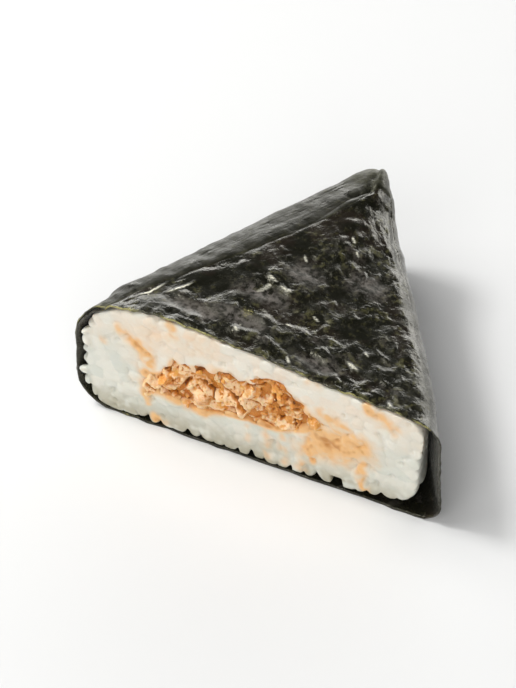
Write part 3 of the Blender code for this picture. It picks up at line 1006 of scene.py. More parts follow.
def wrap_finish(settings):
    """Moist seaweed: near black with a grey sheen, a painted sheen where it lies smooth, painted
    glints on wet crests, olive where thin, brown in its hollows.
    """
    finish = Finish(
        "nori_sheet",
        IOR=1.42,
        Specular_Tint=(1.0, 0.96, 0.76, 1.0),
        Sheen_Weight=0.20,
        Sheen_Roughness=0.40,
        Sheen_Tint=(1.0, 0.98, 0.88, 1.0),
        Coat_Roughness=0.20,
        Coat_IOR=1.45,
        Coat_Tint=(1.0, 0.98, 0.92, 1.0),
    )
    place = finish.place()
    height = finish.attribute("height")
    thin = finish.attribute("thin")
    flap = finish.attribute("flap")
    gloss = finish.attribute("gloss")
    patches = finish.noise(place, 0.16, 4.0)
    mottle = finish.noise(place, 0.9, 4.0, 0.65)
    specks = finish.noise(place, 2.6, 2.0, 0.6)
    brown = finish.rise(patches, 0.46, 0.62) * finish.rise(height, 0.45, 0.2)
    brown = finish.rise(brown + finish.attribute("brown"), 0.0, 1.0)
    colour = finish.mix(brown, settings.dark, settings.brown)
    olive = finish.rise(mottle, 0.50, 0.72) * 0.35 + thin * finish.rise(specks, 0.42, 0.66) * 0.8
    # Crests of crinkles turn olive: partly the sheet's own colour, partly a painted highlight.
    olive = olive + finish.attribute("crest_olive_and_highlight") * finish.rise(mottle, 0.40, 0.62) * 0.6
    colour = finish.mix(finish.rise(olive, 0.0, 1.0), colour, settings.olive)
    calm = finish.attribute("calm")
    # Painted sheen: pale colour in the smooth places and in patches.
    painted_sheen = finish.rise(finish.noise(place, 0.30, 3.0), 0.54, 0.66)
    painted_sheen = painted_sheen * (1 - gloss) * (1 - flap) * 0.35
    painted_sheen = (calm + painted_sheen) * finish.rise(mottle, 0.36, 0.60)
    colour = finish.mix(painted_sheen * 0.75, colour, settings.painted_sheen)
    # Painted glints: pale colour along the crests of the strokes.
    glint = finish.attribute("glint") * finish.rise(specks, 0.30, 0.52)
    colour = finish.mix(glint, colour, settings.glint)
    frayed = finish.rise(thin * (specks + 0.3), 0.50, 0.72)
    frayed = frayed * finish.rise(finish.noise(place, 0.22, 2.0), 0.40, 0.54)
    colour = finish.mix(frayed * 0.9, colour, settings.fibre)
    worn = thin * flap * finish.rise(mottle, 0.30, 0.60)
    colour = finish.mix(worn, colour, settings.worn)
    finish.feed("Base Color", colour)

    polish = finish.rise(mottle, 0.35, 0.65)
    blotches = finish.rise(finish.noise(place, 0.42, 4.0, 0.65), 0.35, 0.62)
    felt = finish.noise(place, 0.9, 2.0, 0.55, distortion=0.8)
    tone = finish.rise(finish.noise(place, 0.13, 2.0), 0.36, 0.62)
    rough = 0.12 + polish * 0.08 + tone * 0.15 + calm * 0.18 + flap * (0.08 + blotches * 0.18)
    finish.feed("Roughness", rough * (1 - gloss * 0.4))
    finish.feed("Coat Weight", finish.rise(patches, 0.42, 0.62) * (1 - flap) * 0.2 + glint * 0.6)

    fibres = finish.noise(place, 3.2, 3.0, 0.6, "RIDGED_MULTIFRACTAL")
    left = finish.noise(finish.place(turn=LEFT_ANGLE, stretch=(7.0, 1.0, 1.0)), 1.6, 3.0)
    lumps = finish.noise(place, 0.9, 4.0, 0.6)
    grain = finish.noise(place, 6.5, 2.0)
    skin = fibres * 0.45 * (1 - flap * 0.4) + grain * 0.25 + (left * 0.35 + lumps * 1.3) * flap
    skin = skin * 0.45 + felt * 1.5 * (1 - flap * 0.6) * (1 - calm * 0.5)
    finish.feed("Normal", finish.bump(skin * (1 - gloss * 0.7), 0.00014, 0.8))
    return finish.material


def grain_relief(points, normals, tree, rng):
    """How high hidden grains lift the sheet at each point, from 0 between them to 1."""
    order = rng.permutation(len(points))
    seeds = order[spread_picks(points[order], HIDDEN_SPACING)]
    relief = np.zeros(len(points))
    for seed in seeds:
        near = np.array([hit[1] for hit in tree.find_range(points[seed], HIDDEN_REACH)])
        side = np.cross(normals[seed], rng.normal(size=3))
        side /= np.linalg.norm(side)
        along = np.cross(normals[seed], side)
        arm = points[near] - points[seed]
        length = rng.uniform(*HIDDEN_LENGTHS)
        width = rng.uniform(*HIDDEN_WIDTHS)
        far = (arm @ along / length) ** 2 + (arm @ side / width) ** 2
        lift = rng.uniform(*HIDDEN_LIFTS) * np.clip(1 - far, 0.0, 1.0) ** 0.8
        relief[near] = np.maximum(relief[near], lift)
    return relief


def fold_relief(points, tree, folds):
    """Heights of the folds' crests at the sheet's points.

    Each fold is a centre, a direction, a half length, a half width, a bend and a height.
    """
    relief = np.zeros(len(points))
    for centre, along, half_length, width, bend, height in folds:
        radius = math.hypot(half_length, 2.2 * width) * 1.1
        near = np.array([hit[1] for hit in tree.find_range(centre, radius)], int)
        if not len(near):
            continue
        arm = points[near] - np.array(centre)
        u = arm @ along
        across = np.cross((0.0, 0.0, 1.0), along)
        v = arm @ across - bend * (u / half_length) ** 2 * half_length
        lift = np.exp(-((v / width) ** 2)) * np.clip(1 - (u / half_length) ** 2, 0.0, 1.0) ** 0.7
        relief[near] = np.maximum(relief[near], lift * height)
    return relief


def softened(field, rounds):
    """A closed grid's values, each averaged with its neighbours a number of times."""
    for _ in range(rounds):
        field = (field + np.roll(field, 1, 1) + np.roll(field, -1, 1)) / 3
        padded = np.vstack((field[:1], field, field[-1:]))
        field = (padded[:-2] + padded[1:-1] + padded[2:]) / 3
    return field


def sheet_depths(straight_rows, tip_rows):
    """Depths of the sheet's sections: even along the walls, then by angle round the tip."""
    arc_start = math.pi / 2 - LEFT_ANGLE
    straight = TIP_Y + TIP_RADIUS * math.sin(arc_start)
    depths = list(straight * np.linspace(0.0, 1.0, straight_rows) ** 1.05)
    angles = np.linspace(arc_start, TIP_END_ANGLE, tip_rows + 1)[1:]
    return depths + list(TIP_Y + TIP_RADIUS * np.sin(angles))


def sheet_grid(depths, counts):
    """A sheet on the base form: points, outward normals and positions round the outline."""
    rings = np.array([outline_at(y, 0.0, counts) for y in depths])
    points = at_depth(rings, np.array(depths)[:, None])
    around = np.roll(points, -1, 1) - np.roll(points, 1, 1)
    inwards = np.gradient(points, axis=0)
    normals = np.cross(inwards, around)
    normals /= np.linalg.norm(normals, axis=2, keepdims=True)
    position = np.concatenate([i + np.arange(n) / n for i, n in enumerate(counts)])
    return points, normals, np.broadcast_to(position, points.shape[:2])


def from_left_wall(points):
    """How far right of the left wall each point of a sheet's grid lies."""
    left = np.array([walls_at(y, 0.0)[0] for y in points[:, 0, 1]])
    return points[..., 0] - left[:, None]


def flap_reach(y):
    """How far right of the left wall the flap's free edge lies at each depth."""
    depths, reaches = np.array(FLAP_REACHES).T * MM
    return np.interp(y, depths, reaches)


def inside_places(points, places):
    """1 inside the listed places of the sheet, fading to 0 round them."""
    inside = np.zeros(len(points))
    for x, y, half_x, half_y in places:
        far = ((points[:, 0] / MM - x) / half_x) ** 2 + ((points[:, 1] / MM - y) / half_y) ** 2
        inside = np.maximum(inside, np.exp(-(far**1.5)))
    return inside


def random_folds(points, top, count, height, rng):
    """Short puckers all over the sheet, fewer where it lies smooth and along the bevel."""
    folds = []
    calm = inside_places(points, CALM_PLACES)
    picks = rng.integers(0, len(points), count * 3)
    for pick in picks:
        angle = rng.normal(*PUCKER_TURN)
        size = rng.uniform(0.5, 1.0) ** 2
        keep = rng.uniform() < (0.25 + 0.75 * top[pick]) * (1 - 0.9 * calm[pick])
        bend = rng.uniform(*PUCKER_BENDS)
        width = rng.uniform(*PUCKER_WIDTHS)
        lift = rng.uniform(*PUCKER_LIFTS)
        if keep and len(folds) < count:
            along = np.array((math.cos(angle), math.sin(angle), 0.0))
            folds.append((points[pick], along, PUCKER_LENGTH * size, width, bend, height * lift))
    return folds


def named_folds(tree, strokes_only=False):
    """The sheet's larger folds and rings, as fold_relief takes them, or its strokes 1 high."""
    folds = []
    for x, y, turn, half_length, width, height in FOLDS:
        if strokes_only and width > STROKE_WIDTH:
            continue
        centre = tree.find((x * MM, y * MM, NEAR_TOP))[0]
        along = np.array((math.cos(math.radians(turn)), math.sin(math.radians(turn)), 0.0))
        sizes = half_length * MM, width * MM, FOLD_BEND, 1.0 if strokes_only else height * MM
        folds.append((centre, along, *sizes))
    if strokes_only:
        return folds
    for x, y, radius, height in RINGS:
        for turn in np.radians(RING_TURNS):
            far = radius * (1 + 0.28 * math.sin(2.3 * turn + x))
            strong = 0.65 + 0.45 * math.sin(3.1 * turn + y)
            centre = (x + far * math.cos(turn)) * MM, (y + far * math.sin(turn)) * MM, NEAR_TOP
            centre = tree.find(centre)[0]
            slant = turn + 0.35 * math.sin(5 * turn + x + y)
            along = np.array((-math.sin(slant), math.cos(slant), 0.0))
            sizes = radius * 0.85 * MM, RING_WIDTH, RING_BEND, height * strong * MM
            folds.append((centre, along, *sizes))
    return folds


def sheet_attributes(*fields):
    """The sheet's masks from 0 to 1, by the names that its finish reads."""
    names = ("height", "thin", "gloss", "brown", "calm", "glint", "crest_olive_and_highlight", "flap")
    return dict(zip(names, fields))


def olive_at(points, reach):
    """1 where the sheet is thin and olive: at the tip, and in the lip at the left of the cut."""
    from_tip = np.linalg.norm(points - np.array((TIP_X, DEPTH, TIP_OLIVE_HEIGHT)), axis=-1)
    lip_x, half_x, half_y = OLIVE_LIP
    lip = ((points[..., 0] / MM - lip_x) / half_x) ** 2 + (points[..., 1] / MM / half_y) ** 2
    return np.maximum(TIP_OLIVE * np.exp(-((from_tip / reach) ** 2)), np.exp(-lip))


def torn_edge(points, reach, amount):
    """How far a cut edge's ragged line moves the points near the cut, in metres along y."""
    flat = points.reshape(-1, 3)
    ragged = noise_at(flat, *RAGGED[0]) + 0.5 * noise_at(flat, *RAGGED[1])
    return amount * np.exp(-points[..., 1] / reach) * ragged.reshape(points.shape[:2])


class ONIGIRI_OT_wrap(bpy.types.Operator):
    """Seaweed sheet round the rice, lifted by the grains under it, and its overlapping flap"""

    bl_idname = "onigiri.wrap"
    bl_label = "Seaweed wrap"

    def execute(self, context):
        settings = context.scene.onigiri_wrap
        finish = wrap_finish(settings)
        self.make_wrap(settings, finish)
        self.make_flap(settings, finish)
        return {"FINISHED"}

    def make_wrap(self, settings, finish):
        """The sheet round the half: its outside, a coarser inside and the edge at the cut."""
        rng = np.random.default_rng(11)
        points, normals, position = sheet_grid(sheet_depths(*WRAP_ROWS), WRAP_COUNTS)
        lift, *fields = self.wrap_relief(points, normals, position, settings, rng)
        outer = points + normals * lift[..., None]
        outer[..., 1] += torn_edge(points, *WRAP_TEAR)
        outer[..., 2] = np.maximum(outer[..., 2], 0.0)
        inner = outer[INSIDE_ROWS] - normals[INSIDE_ROWS] * settings.sheet
        inner[..., 1] = np.maximum(inner[..., 1], outer[0, :, 1])
        rows, columns = position.shape
        rim = np.arange(columns)
        after = (rim + 1) % columns
        inner_first = rows * columns
        faces = [
            grid_faces(rows, columns),
            grid_faces(len(INSIDE_ROWS), columns, inner_first)[:, ::-1],
            np.stack((rim, after, after + inner_first, rim + inner_first), 1)[:, ::-1],
        ]
        faces = np.vstack(faces).tolist()
        faces.append(((rows - 1) * columns + rim).tolist())
        faces.append((inner_first + (len(INSIDE_ROWS) - 1) * columns + rim).tolist()[::-1])
        faces = [face[::-1] for face in faces]
        every = np.vstack((outer.reshape(-1, 3), inner.reshape(-1, 3)))
        fields = [np.concatenate((f.ravel(), f[INSIDE_ROWS].ravel())) for f in fields]
        attributes = sheet_attributes(*fields, np.zeros(len(every)))
        make_piece("nori_wrap", every, faces, finish, ("nori",), attributes)

    def wrap_relief(self, points, normals, position, settings, rng):
        """The sheet's height over its base form, and its masks in sheet_attributes' order."""
        shape = position.shape
        flat = points.reshape(-1, 3)
        tree = point_tree(flat)
        y = points[..., 1]

        def noisy(*size_and_seed):
            return noise_at(flat, *size_and_seed).reshape(shape)

        def inside(places):
            return inside_places(flat, places).reshape(shape) * top

        def crests(folds):
            return fold_relief(flat, tree, folds).reshape(shape)

        past_edge = from_left_wall(points) - flap_reach(y)
        open_top = smooth(*FLAP_EDGE_FADE, past_edge)
        top = smooth(*TOP_START, position) * open_top * (position < BEVEL_END)
        covered = (1 - open_top) * smooth(*COVER_START, position)
        covered = covered * (1 - smooth(*COVER_END, position))
        foot = 1 - smooth(*RIGHT_FOOT, position) + smooth(*LEFT_FOOT, position)
        shoulder = np.exp(-(((position - SHOULDER) / SHOULDER_SPREAD) ** 2))
        near_cut = 1 - smooth(*NEAR_CUT, y)
        calm, hollows, gloss = inside(CALM_PLACES), inside(HOLLOWS), inside(DARK_PLACES)

        grains = grain_relief(flat, normals.reshape(-1, 3), tree, rng).reshape(shape)
        grains = softened(grains, 1)
        short = random_folds(flat, top.ravel(), settings.puckers, settings.pucker, rng)
        busy = 0.3 + 0.7 * smooth(-0.25, 0.25, noisy(*BUSY_AREAS))
        folds = np.maximum(crests(short) * busy, crests(named_folds(tree)))
        strokes = crests(named_folds(tree, strokes_only=True))
        crinkles = np.maximum(*(curls_at(flat, *curls) for curls in CRINKLES)).reshape(shape)
        edging = noise_at(turned(flat, math.pi - RIGHT_ANGLE), *EDGING).reshape(shape)

        rough = (1 - 0.8 * calm) * (1 - 0.5 * gloss)
        lift = settings.relief * grains * (0.45 + 0.35 * near_cut * top) * rough
        lift *= 1 - 0.6 * shoulder
        lift += settings.undulation * noisy(*WAVES) * (0.6 + 0.4 * top)
        lift += settings.undulation * 0.3 * noisy(*RIPPLES) * rough
        facets = noisy(*FACETS[0]) + 0.5 * noisy(*FACETS[1])
        facets = facets * (1 - 0.6 * calm) * (1 - 0.5 * gloss)
        lift += settings.crumple * facets * (0.5 + 0.5 * top) * (1 - 0.6 * shoulder)
        lift += settings.crinkle * crinkles * (0.4 + 0.6 * top) * rough * (1 - 0.4 * shoulder)
        lift += folds * (1 - 0.5 * shoulder)
        lift += EDGING_HEIGHT * edging * shoulder
        lift -= TOP_SINK * top * smooth(*SINK_START, y)
        lift = softened((lift - HOLLOW_SINK * hollows) * (1 - covered), 1)
        lift = np.maximum(lift, -DEEPEST_SINK)

        height = np.clip(lift / FULL_HEIGHT + 0.15 - 0.5 * hollows, 0.0, 1.0)
        # Crests of high folds: olive and fibre colour, partly stretched thin sheet and partly a
        # painted highlight.
        worn = 0.8 * smooth(*WORN_HEIGHTS, folds) * smooth(-0.1, 0.4, noisy(*WORN_CRESTS))
        thin = np.exp(-y / FRAYED_DEPTH) * (0.3 + 0.7 * top) + worn
        thin = np.maximum(thin, olive_at(points, WRAP_OLIVE_REACH))
        # Painted glint along the strokes' crests.
        glint = smooth(0.45, 1.0, strokes) ** 1.5 * top
        brown = hollows * (0.5 + 0.5 * smooth(-0.2, 0.4, noisy(*BROWN_SPECKLE)))
        # Crests of the crinkles: an olive tint, partly thin sheet and partly a painted highlight.
        crest_olive_and_highlight = crinkles * top * (1 - gloss) * (1 - calm)
        lift *= 1 - 0.85 * np.clip(foot, 0, 1)
        return lift, height, thin, gloss, brown, calm, glint, crest_olive_and_highlight

    def make_flap(self, settings, finish):
        """The end of the sheet, folded over the bevel and the left wall, with a free edge."""
        points, normals, from_edge = self.flap_grid()
        shape = points.shape[:2]
        flat = points.reshape(-1, 3)
        by_left = turned(flat, LEFT_ANGLE)
        y, z = points[..., 1], points[..., 2]
        streaks = noise_at(by_left, *FLAP_STREAKS).reshape(shape)
        scratches = noise_at(by_left, *FLAP_SCRATCHES).reshape(shape)
        waves = noise_at(flat, *FLAP_WAVES).reshape(shape)
        lumps = noise_at(flat, *FLAP_LUMPS).reshape(shape)
        tucked = np.clip((z - TUCK_HEIGHT) / TUCK_FADE, 0.0, 1.0)
        lift = FLAP_STEP * (0.25 + 0.75 * tucked) + 0.5 * settings.undulation * waves
        lumpy = LUMP_HEIGHTS[0] + LUMP_HEIGHTS[1] * (1 - smooth(*LUMPS_FADE, y))
        lift += STREAK_HEIGHT * streaks + SCRATCH_HEIGHT * scratches + lumpy * lumps
        lift = np.maximum(lift, LEAST_OVERLAP)
        free = np.exp(-from_edge / FREE_EDGE_WIDTH)
        raised = smooth(0.1, 0.6, noise_at(flat, *FLAP_RAISED)).reshape(shape)
        lift = lift * (1 - free) + free * (FREE_EDGE_LIFT + FREE_EDGE_RISE * raised)
        outer = points + normals * lift[..., None]
        recess = CUT_RECESS * np.exp(-y / CUT_RECESS_DEPTH) * smooth(*CUT_RECESS_RISE, z)
        outer[..., 1] += np.maximum(torn_edge(points, *FLAP_TEAR) + recess, LEAST_RECESS)
        thickness = settings.sheet * 0.8 * (0.35 + 0.65 * tucked)
        inner = outer - normals * thickness[..., None]
        both = np.vstack((outer.reshape(-1, 3), inner.reshape(-1, 3)))

        height = np.clip(0.55 + 0.3 * lumps + 0.2 * streaks, 0.0, 1.0)
        thin = np.exp(-y / FLAP_FRAYED_DEPTH)
        thin = np.maximum(thin, 0.4 * np.exp(-from_edge / FRAYED_WIDTH))
        thin = np.maximum(thin, olive_at(points, FLAP_OLIVE_REACH))
        none = np.zeros(shape)
        fields = (height, thin, none, none, none, none, none)
        fields = [np.concatenate((f.ravel(), f.ravel())) for f in fields]
        attributes = sheet_attributes(*fields, np.ones(len(both)))
        make_piece("nori_flap", both, two_sided_faces(*shape), finish, (), attributes)

    def flap_grid(self):
        """The flap on the base form: points, normals and distances from its free edge."""
        depths = sheet_depths(*FLAP_ROWS)
        points, normals, position = sheet_grid(depths, FLAP_COUNTS)
        first, last = (int(np.searchsorted(position[0], end)) for end in FLAP_SPAN)
        ys = np.array(depths)
        broad, fine = (
            np.array([noise.noise((shift, y / size, seed)) for y in ys])
            for shift, size, seed in EDGE_BENDS
        )
        # The free edge's place in the outline of each section, and the columns from there on.
        reach = flap_reach(ys) + FREE_EDGE_WANDER * (broad + 0.4 * fine)
        inwards = from_left_wall(points)[:, first:last]
        index = np.arange(first, last)
        edge = [np.interp(-far, -row, index) for far, row in zip(reach, inwards)]
        edge = np.array(edge)[:, None]
        grow = edge + (last - 1 - edge) * np.linspace(0.0, 1.0, FLAP_COLUMNS) ** 1.3
        low = np.minimum(grow.astype(int), last - 2)
        part = (grow - low)[..., None]
        row = np.arange(len(depths))[:, None]
        points = points[row, low] * (1 - part) + points[row, low + 1] * part
        normals = normals[row, low] * (1 - part) + normals[row, low + 1] * part
        steps = np.linalg.norm(np.diff(points, axis=1, prepend=points[:, :1]), axis=2)
        return points, normals, np.cumsum(steps, axis=1)


# ---------------------------------------------------------------- the rice


def filling_share(points):
    """Below 1 inside the filling and above 1 outside it."""
    share, _, _ = FILLING_BOUNDARY.share(points)
    x, z = points[:, 0] / MM, points[:, 2] / MM
    for centre_x, centre_z, half_x, half_z, amount in FILLING_BENDS:
        far = ((x - centre_x) / half_x) ** 2 + ((z - centre_z) / half_z) ** 2
        share = share + amount * np.exp(-far)
    return share


def stain_at(points):
    """How much oil the rice has taken up at each point, from 0 to 1."""
    share = filling_share(points)
    rough = noise_at(points, *STAIN_EDGE)
    fine = noise_at(points, *STAIN_GRAIN)
    below = 1 - smooth(*STAINED_BELOW, points[:, 2])
    stain = (0.35 + 0.35 * below) * np.clip(1 - (share - 0.97) / 0.24, 0.0, 1.0) ** 1.5
    spots = points[:, (0, 2)] / MM
    spots = spots + 0.5 * np.stack((rough, noise_at(points, *STAIN_SHIFT)), 1)
    patchy = smooth(-0.60, 0.15, noise_at(points, *STAIN_PATCHES))
    for width, strength, line in OIL_MARKS:
        far = line_distance(spots, line) / (width * (1.40 + 0.4 * rough))
        broken = 1 - (1 - patchy) * 0.55 / max(width, 0.8)
        stain = np.maximum(stain, strength * broken * np.exp(-(far**2) * (1 + 0.5 * fine)))
    return np.clip(stain * (1 + 0.30 * rough + 0.35 * fine), 0.0, 1.0)


def warmth_and_shade_at(points):
    """0 low on the cut and at its left and right, where the cool colour is painted shade, to 1
    along the top, where the rice is warm.
    """
    rise = smooth(*WARM_ABOVE, points[:, 2])
    left = 1 - smooth(*COOL_LEFT, points[:, 0])
    right = smooth(*COOL_RIGHT, points[:, 0])
    blotches = noise_at(points, *WARM_BLOTCHES[0]) + 0.6 * noise_at(points, *WARM_BLOTCHES[1])
    return np.clip(rise - 0.55 * left - 0.40 * right + 0.30 * blotches, 0, 1)


def wetness_and_shade_at(points):
    """1 at the foot of the cut, in blotches: wet rice, its darkness there partly painted shade."""
    blotches = noise_at(points, *WET_BLOTCHES[0]) + 0.6 * noise_at(points, *WET_BLOTCHES[1])
    low = 1 - smooth(*WET_BELOW, points[:, 2] + 0.0018 * blotches)
    return low * smooth(-0.9, 0.2, blotches)


def rice_finish(settings):
    """Cooked rice: moist, translucent, off-white, and orange where oil has soaked in, with painted
    shade low on the cut, at its ends and in the seams.
    """
    finish = Finish(
        "cooked_rice",
        Subsurface_Weight=0.45,
        Subsurface_Radius=(1.0, 0.90, 0.76),
        Subsurface_Scale=0.0008,
        Coat_Weight=0.10,
        Coat_Roughness=0.18,
    )
    place = finish.place()
    mottle = finish.noise(place, 0.5, 3.0)
    fine = finish.noise(place, 2.4, 3.0)
    tone = finish.attribute("tone")
    seam = finish.attribute("seam")
    stain = finish.attribute("stain")
    # Painted shade: the cool colour low on the cut and at its ends; the warm one along the top.
    colour = finish.mix(finish.attribute("warmth_and_shade"), settings.cool_shade, settings.warm)
    white = finish.rise(mottle * 0.5 + tone * 0.6, 0.35, 0.80)
    colour = finish.mix(white * 0.75, colour, settings.white)
    # Wet rice at the foot of the cut, darker partly as painted shade.
    colour = finish.mix(finish.attribute("wet_and_shade"), colour, settings.wet_and_shade)
    # Painted shade in the seams between grains, in the oiled rice as well.
    colour = finish.mix(seam * 0.14, colour, tuple(v * 0.8 for v in settings.cool_shade))
    colour = finish.mix(finish.rise(stain, 0.0, 0.62), colour, settings.stain)
    colour = finish.mix(finish.rise(stain + seam * 0.06, 0.60, 1.0), colour, settings.soaked)
    finish.feed("Base Color", colour)
    finish.feed("Roughness", 0.30 + fine * 0.22)
    skin = finish.noise(place, 1.6, 3.0)
    finish.feed("Normal", finish.bump(skin, 0.00014, 0.6))
    return finish.material


def rice_attributes(points, tone, seam):
    """The rice's masks from 0 to 1, by the names that its finish reads."""
    fields = {"stain": stain_at(points), "warmth_and_shade": warmth_and_shade_at(points), "wet_and_shade": wetness_and_shade_at(points)}
    return {**fields, "tone": tone, "seam": seam}


def rice_slab(front_share, depths, inset, relief, foot_gap=0.0, front_y=0.0):
    """A closed body of pressed rice: its face, hollowed for the filling, and rings behind it."""
    edge = rice_outline_at(front_y, inset, SLAB_COUNTS)
    centre = (edge.min(0) + edge.max(0)) / 2
    face = centre + (edge[None] - centre) * front_share[:, None, None]
    flat = at_depth(face, 0.0).reshape(-1, 3)
    seat = 1 - smooth(*FILLING_SEAT, filling_share(flat))
    flat[:, 1] = relief(flat) + FILLING_SEAT_DEPTH * seat
    front = flat.reshape(len(front_share), -1, 3)
    back = [at_depth(rice_outline_at(y, inset, SLAB_COUNTS), y) for y in depths]
    rings = np.concatenate((front, np.array(back)))
    fade = np.clip(1 - rings[..., 1] / FOOT_GAP_DEPTH, 0.0, 1.0)
    rings[..., 2] = np.maximum(rings[..., 2], edge[:, 1].min() + foot_gap * fade)
    return capped_rings(rings, centre)


class ONIGIRI_OT_rice_core(bpy.types.Operator):
    """Pressed rice behind the grains that show"""

    bl_idname = "onigiri.rice_core"
    bl_label = "Rice core"

    def execute(self, context):
        front_y = SLAB_DEPTH - CORE_LAP

        def relief(points):
            return np.full(len(points), front_y)

        shares = np.linspace(0.2, 1.0, 5)
        points, faces = rice_slab(shares, CORE_DEPTHS, CORE_INSET, relief, front_y=front_y)
        finish = rice_finish(context.scene.onigiri_rice)
        still = np.zeros(len(points))
        attributes = rice_attributes(points, still, still)
        make_piece("rice_core", points, faces, finish, ("rice",), attributes)
        return {"FINISHED"}


def grain_places(spacing, rng):
    """Centres of the grains that show at the cut, first along the edge and then inside."""
    edge = rice_outline_at(0.0, RICE_INSET, SIGHT_COUNTS)
    edge_path = resampled(np.vstack((edge, edge[:1])), EDGE_STEPS)
    tangent = np.roll(edge_path, -1, 0) - np.roll(edge_path, 1, 0)
    normal = np.stack((-tangent[:, 1], tangent[:, 0]), 1)
    normal /= np.linalg.norm(normal, axis=1)[:, None]
    inward = edge.mean(0) - edge_path
    normal *= np.sign((normal * inward).sum(1))[:, None]
    border = edge_path + normal * BORDER_INSET
    border = np.roll(border, rng.integers(0, EDGE_STEPS), 0)
    border = border[spread_picks(border, spacing * BORDER_SPACING)]
    low, high = edge.min(0), edge.max(0)
    tries = rng.uniform(low, high, (TRIES, 2))
    share, _, reach = RICE_BOUNDARY.share(at_depth(tries, 0.0))
    tries = tries[(1 - share) * reach > BORDER_WIDTH]
    inside = tries[spread_picks(tries, spacing, border)]
    return border, inside


def rotation_rows(directions, rng):
    """Right-handed sets of axes whose first axis is each direction."""
    sides = np.cross(directions, rng.normal(size=directions.shape))
    sides /= np.linalg.norm(sides, axis=1)[:, None]
    return np.stack((directions, sides, np.cross(directions, sides)), 1)


def sliced_grains(centres, axes, half_sizes, cut, rng):
    """Closed grain meshes, each cut flat where it would stand in front of its own cut depth."""
    segments = GRAIN_SEGMENTS
    stretch = axes * half_sizes[:, :, None]
    pull = stretch[:, :, 1]
    length = np.linalg.norm(pull, axis=1)
    pole = pull / length[:, None]
    level = np.clip((cut - centres[:, 1]) / length, -1.0, HIGHEST_CUT)
    side = np.cross(pole, rng.normal(size=pole.shape))
    side /= np.linalg.norm(side, axis=1)[:, None]
    other = np.cross(pole, side)
    turn = np.arange(segments) * 2 * math.pi / segments
    cos, sin = np.cos(turn)[None, :, None], np.sin(turn)[None, :, None]
    circle = side[:, None] * cos + other[:, None] * sin
    rings = []
    is_cut = (level > -0.999)[:, None, None]
    for inner in CUT_RINGS:
        rim = np.sqrt(1 - level**2)[:, None, None]
        flat = level[:, None, None] * pole[:, None] + inner * rim * circle
        bulge = (1 - inner**2) * CUT_BULGE * pole[:, None]
        tight = -math.cos(0.35 * inner) * pole[:, None] + math.sin(0.35 * inner) * circle
        rings.append(np.where(is_cut, flat - bulge, tight))
    for share in GRAIN_RINGS:
        start = np.maximum(level, -HIGHEST_CUT)
        height = start + (1 - start) * share
        ring = height[:, None, None] * pole[:, None]
        rings.append(ring + np.sqrt(np.maximum(1 - height**2, 0.0))[:, None, None] * circle)
    front = (level[:, None] - CUT_BULGE * is_cut[:, 0]) * pole
    units = np.concatenate((front[:, None], np.concatenate(rings, 1), pole[:, None]), 1)
    world = np.einsum("gvi,gij->gvj", units, stretch) + centres[:, None]
    ring_count = len(rings)
    faces = []
    per_grain = 2 + ring_count * segments
    quads = grid_faces(ring_count, segments, 1)
    last = per_grain - 1
    for grain in range(len(centres)):
        first = grain * per_grain
        faces += (quads + first).tolist()
        for i in range(segments):
            after = (i + 1) % segments
            tail = first + 1 + (ring_count - 1) * segments
            faces.append([first, first + 1 + after, first + 1 + i])
            faces.append([first + last, tail + i, tail + after])
    return world.reshape(-1, 3), [face[::-1] for face in faces], per_grain


def grain_at(points, centres, axes, half_sizes):
    """Each point's own grain, and how much nearer it is than the next one, in grain widths."""
    tree = point_tree(centres)
    near = np.array([[hit[1] for hit in tree.find_n(point, 6)] for point in points])
    arm = points[:, None] - centres[near]
    local = np.einsum("pni,pnji->pnj", arm, axes[near]) / half_sizes[near]
    far = np.linalg.norm(local, axis=2)
    order = np.argsort(far, 1)
    ranked = np.take_along_axis(far, order, 1)
    own = np.take_along_axis(near, order, 1)[:, 0]
    return own, ranked[:, 1] - ranked[:, 0]


def low_on_cut(points):
    """1 at the foot of the cut, falling to 0 half way up."""
    return 1 - smooth(*LOW_ON_CUT, points[:, 2])


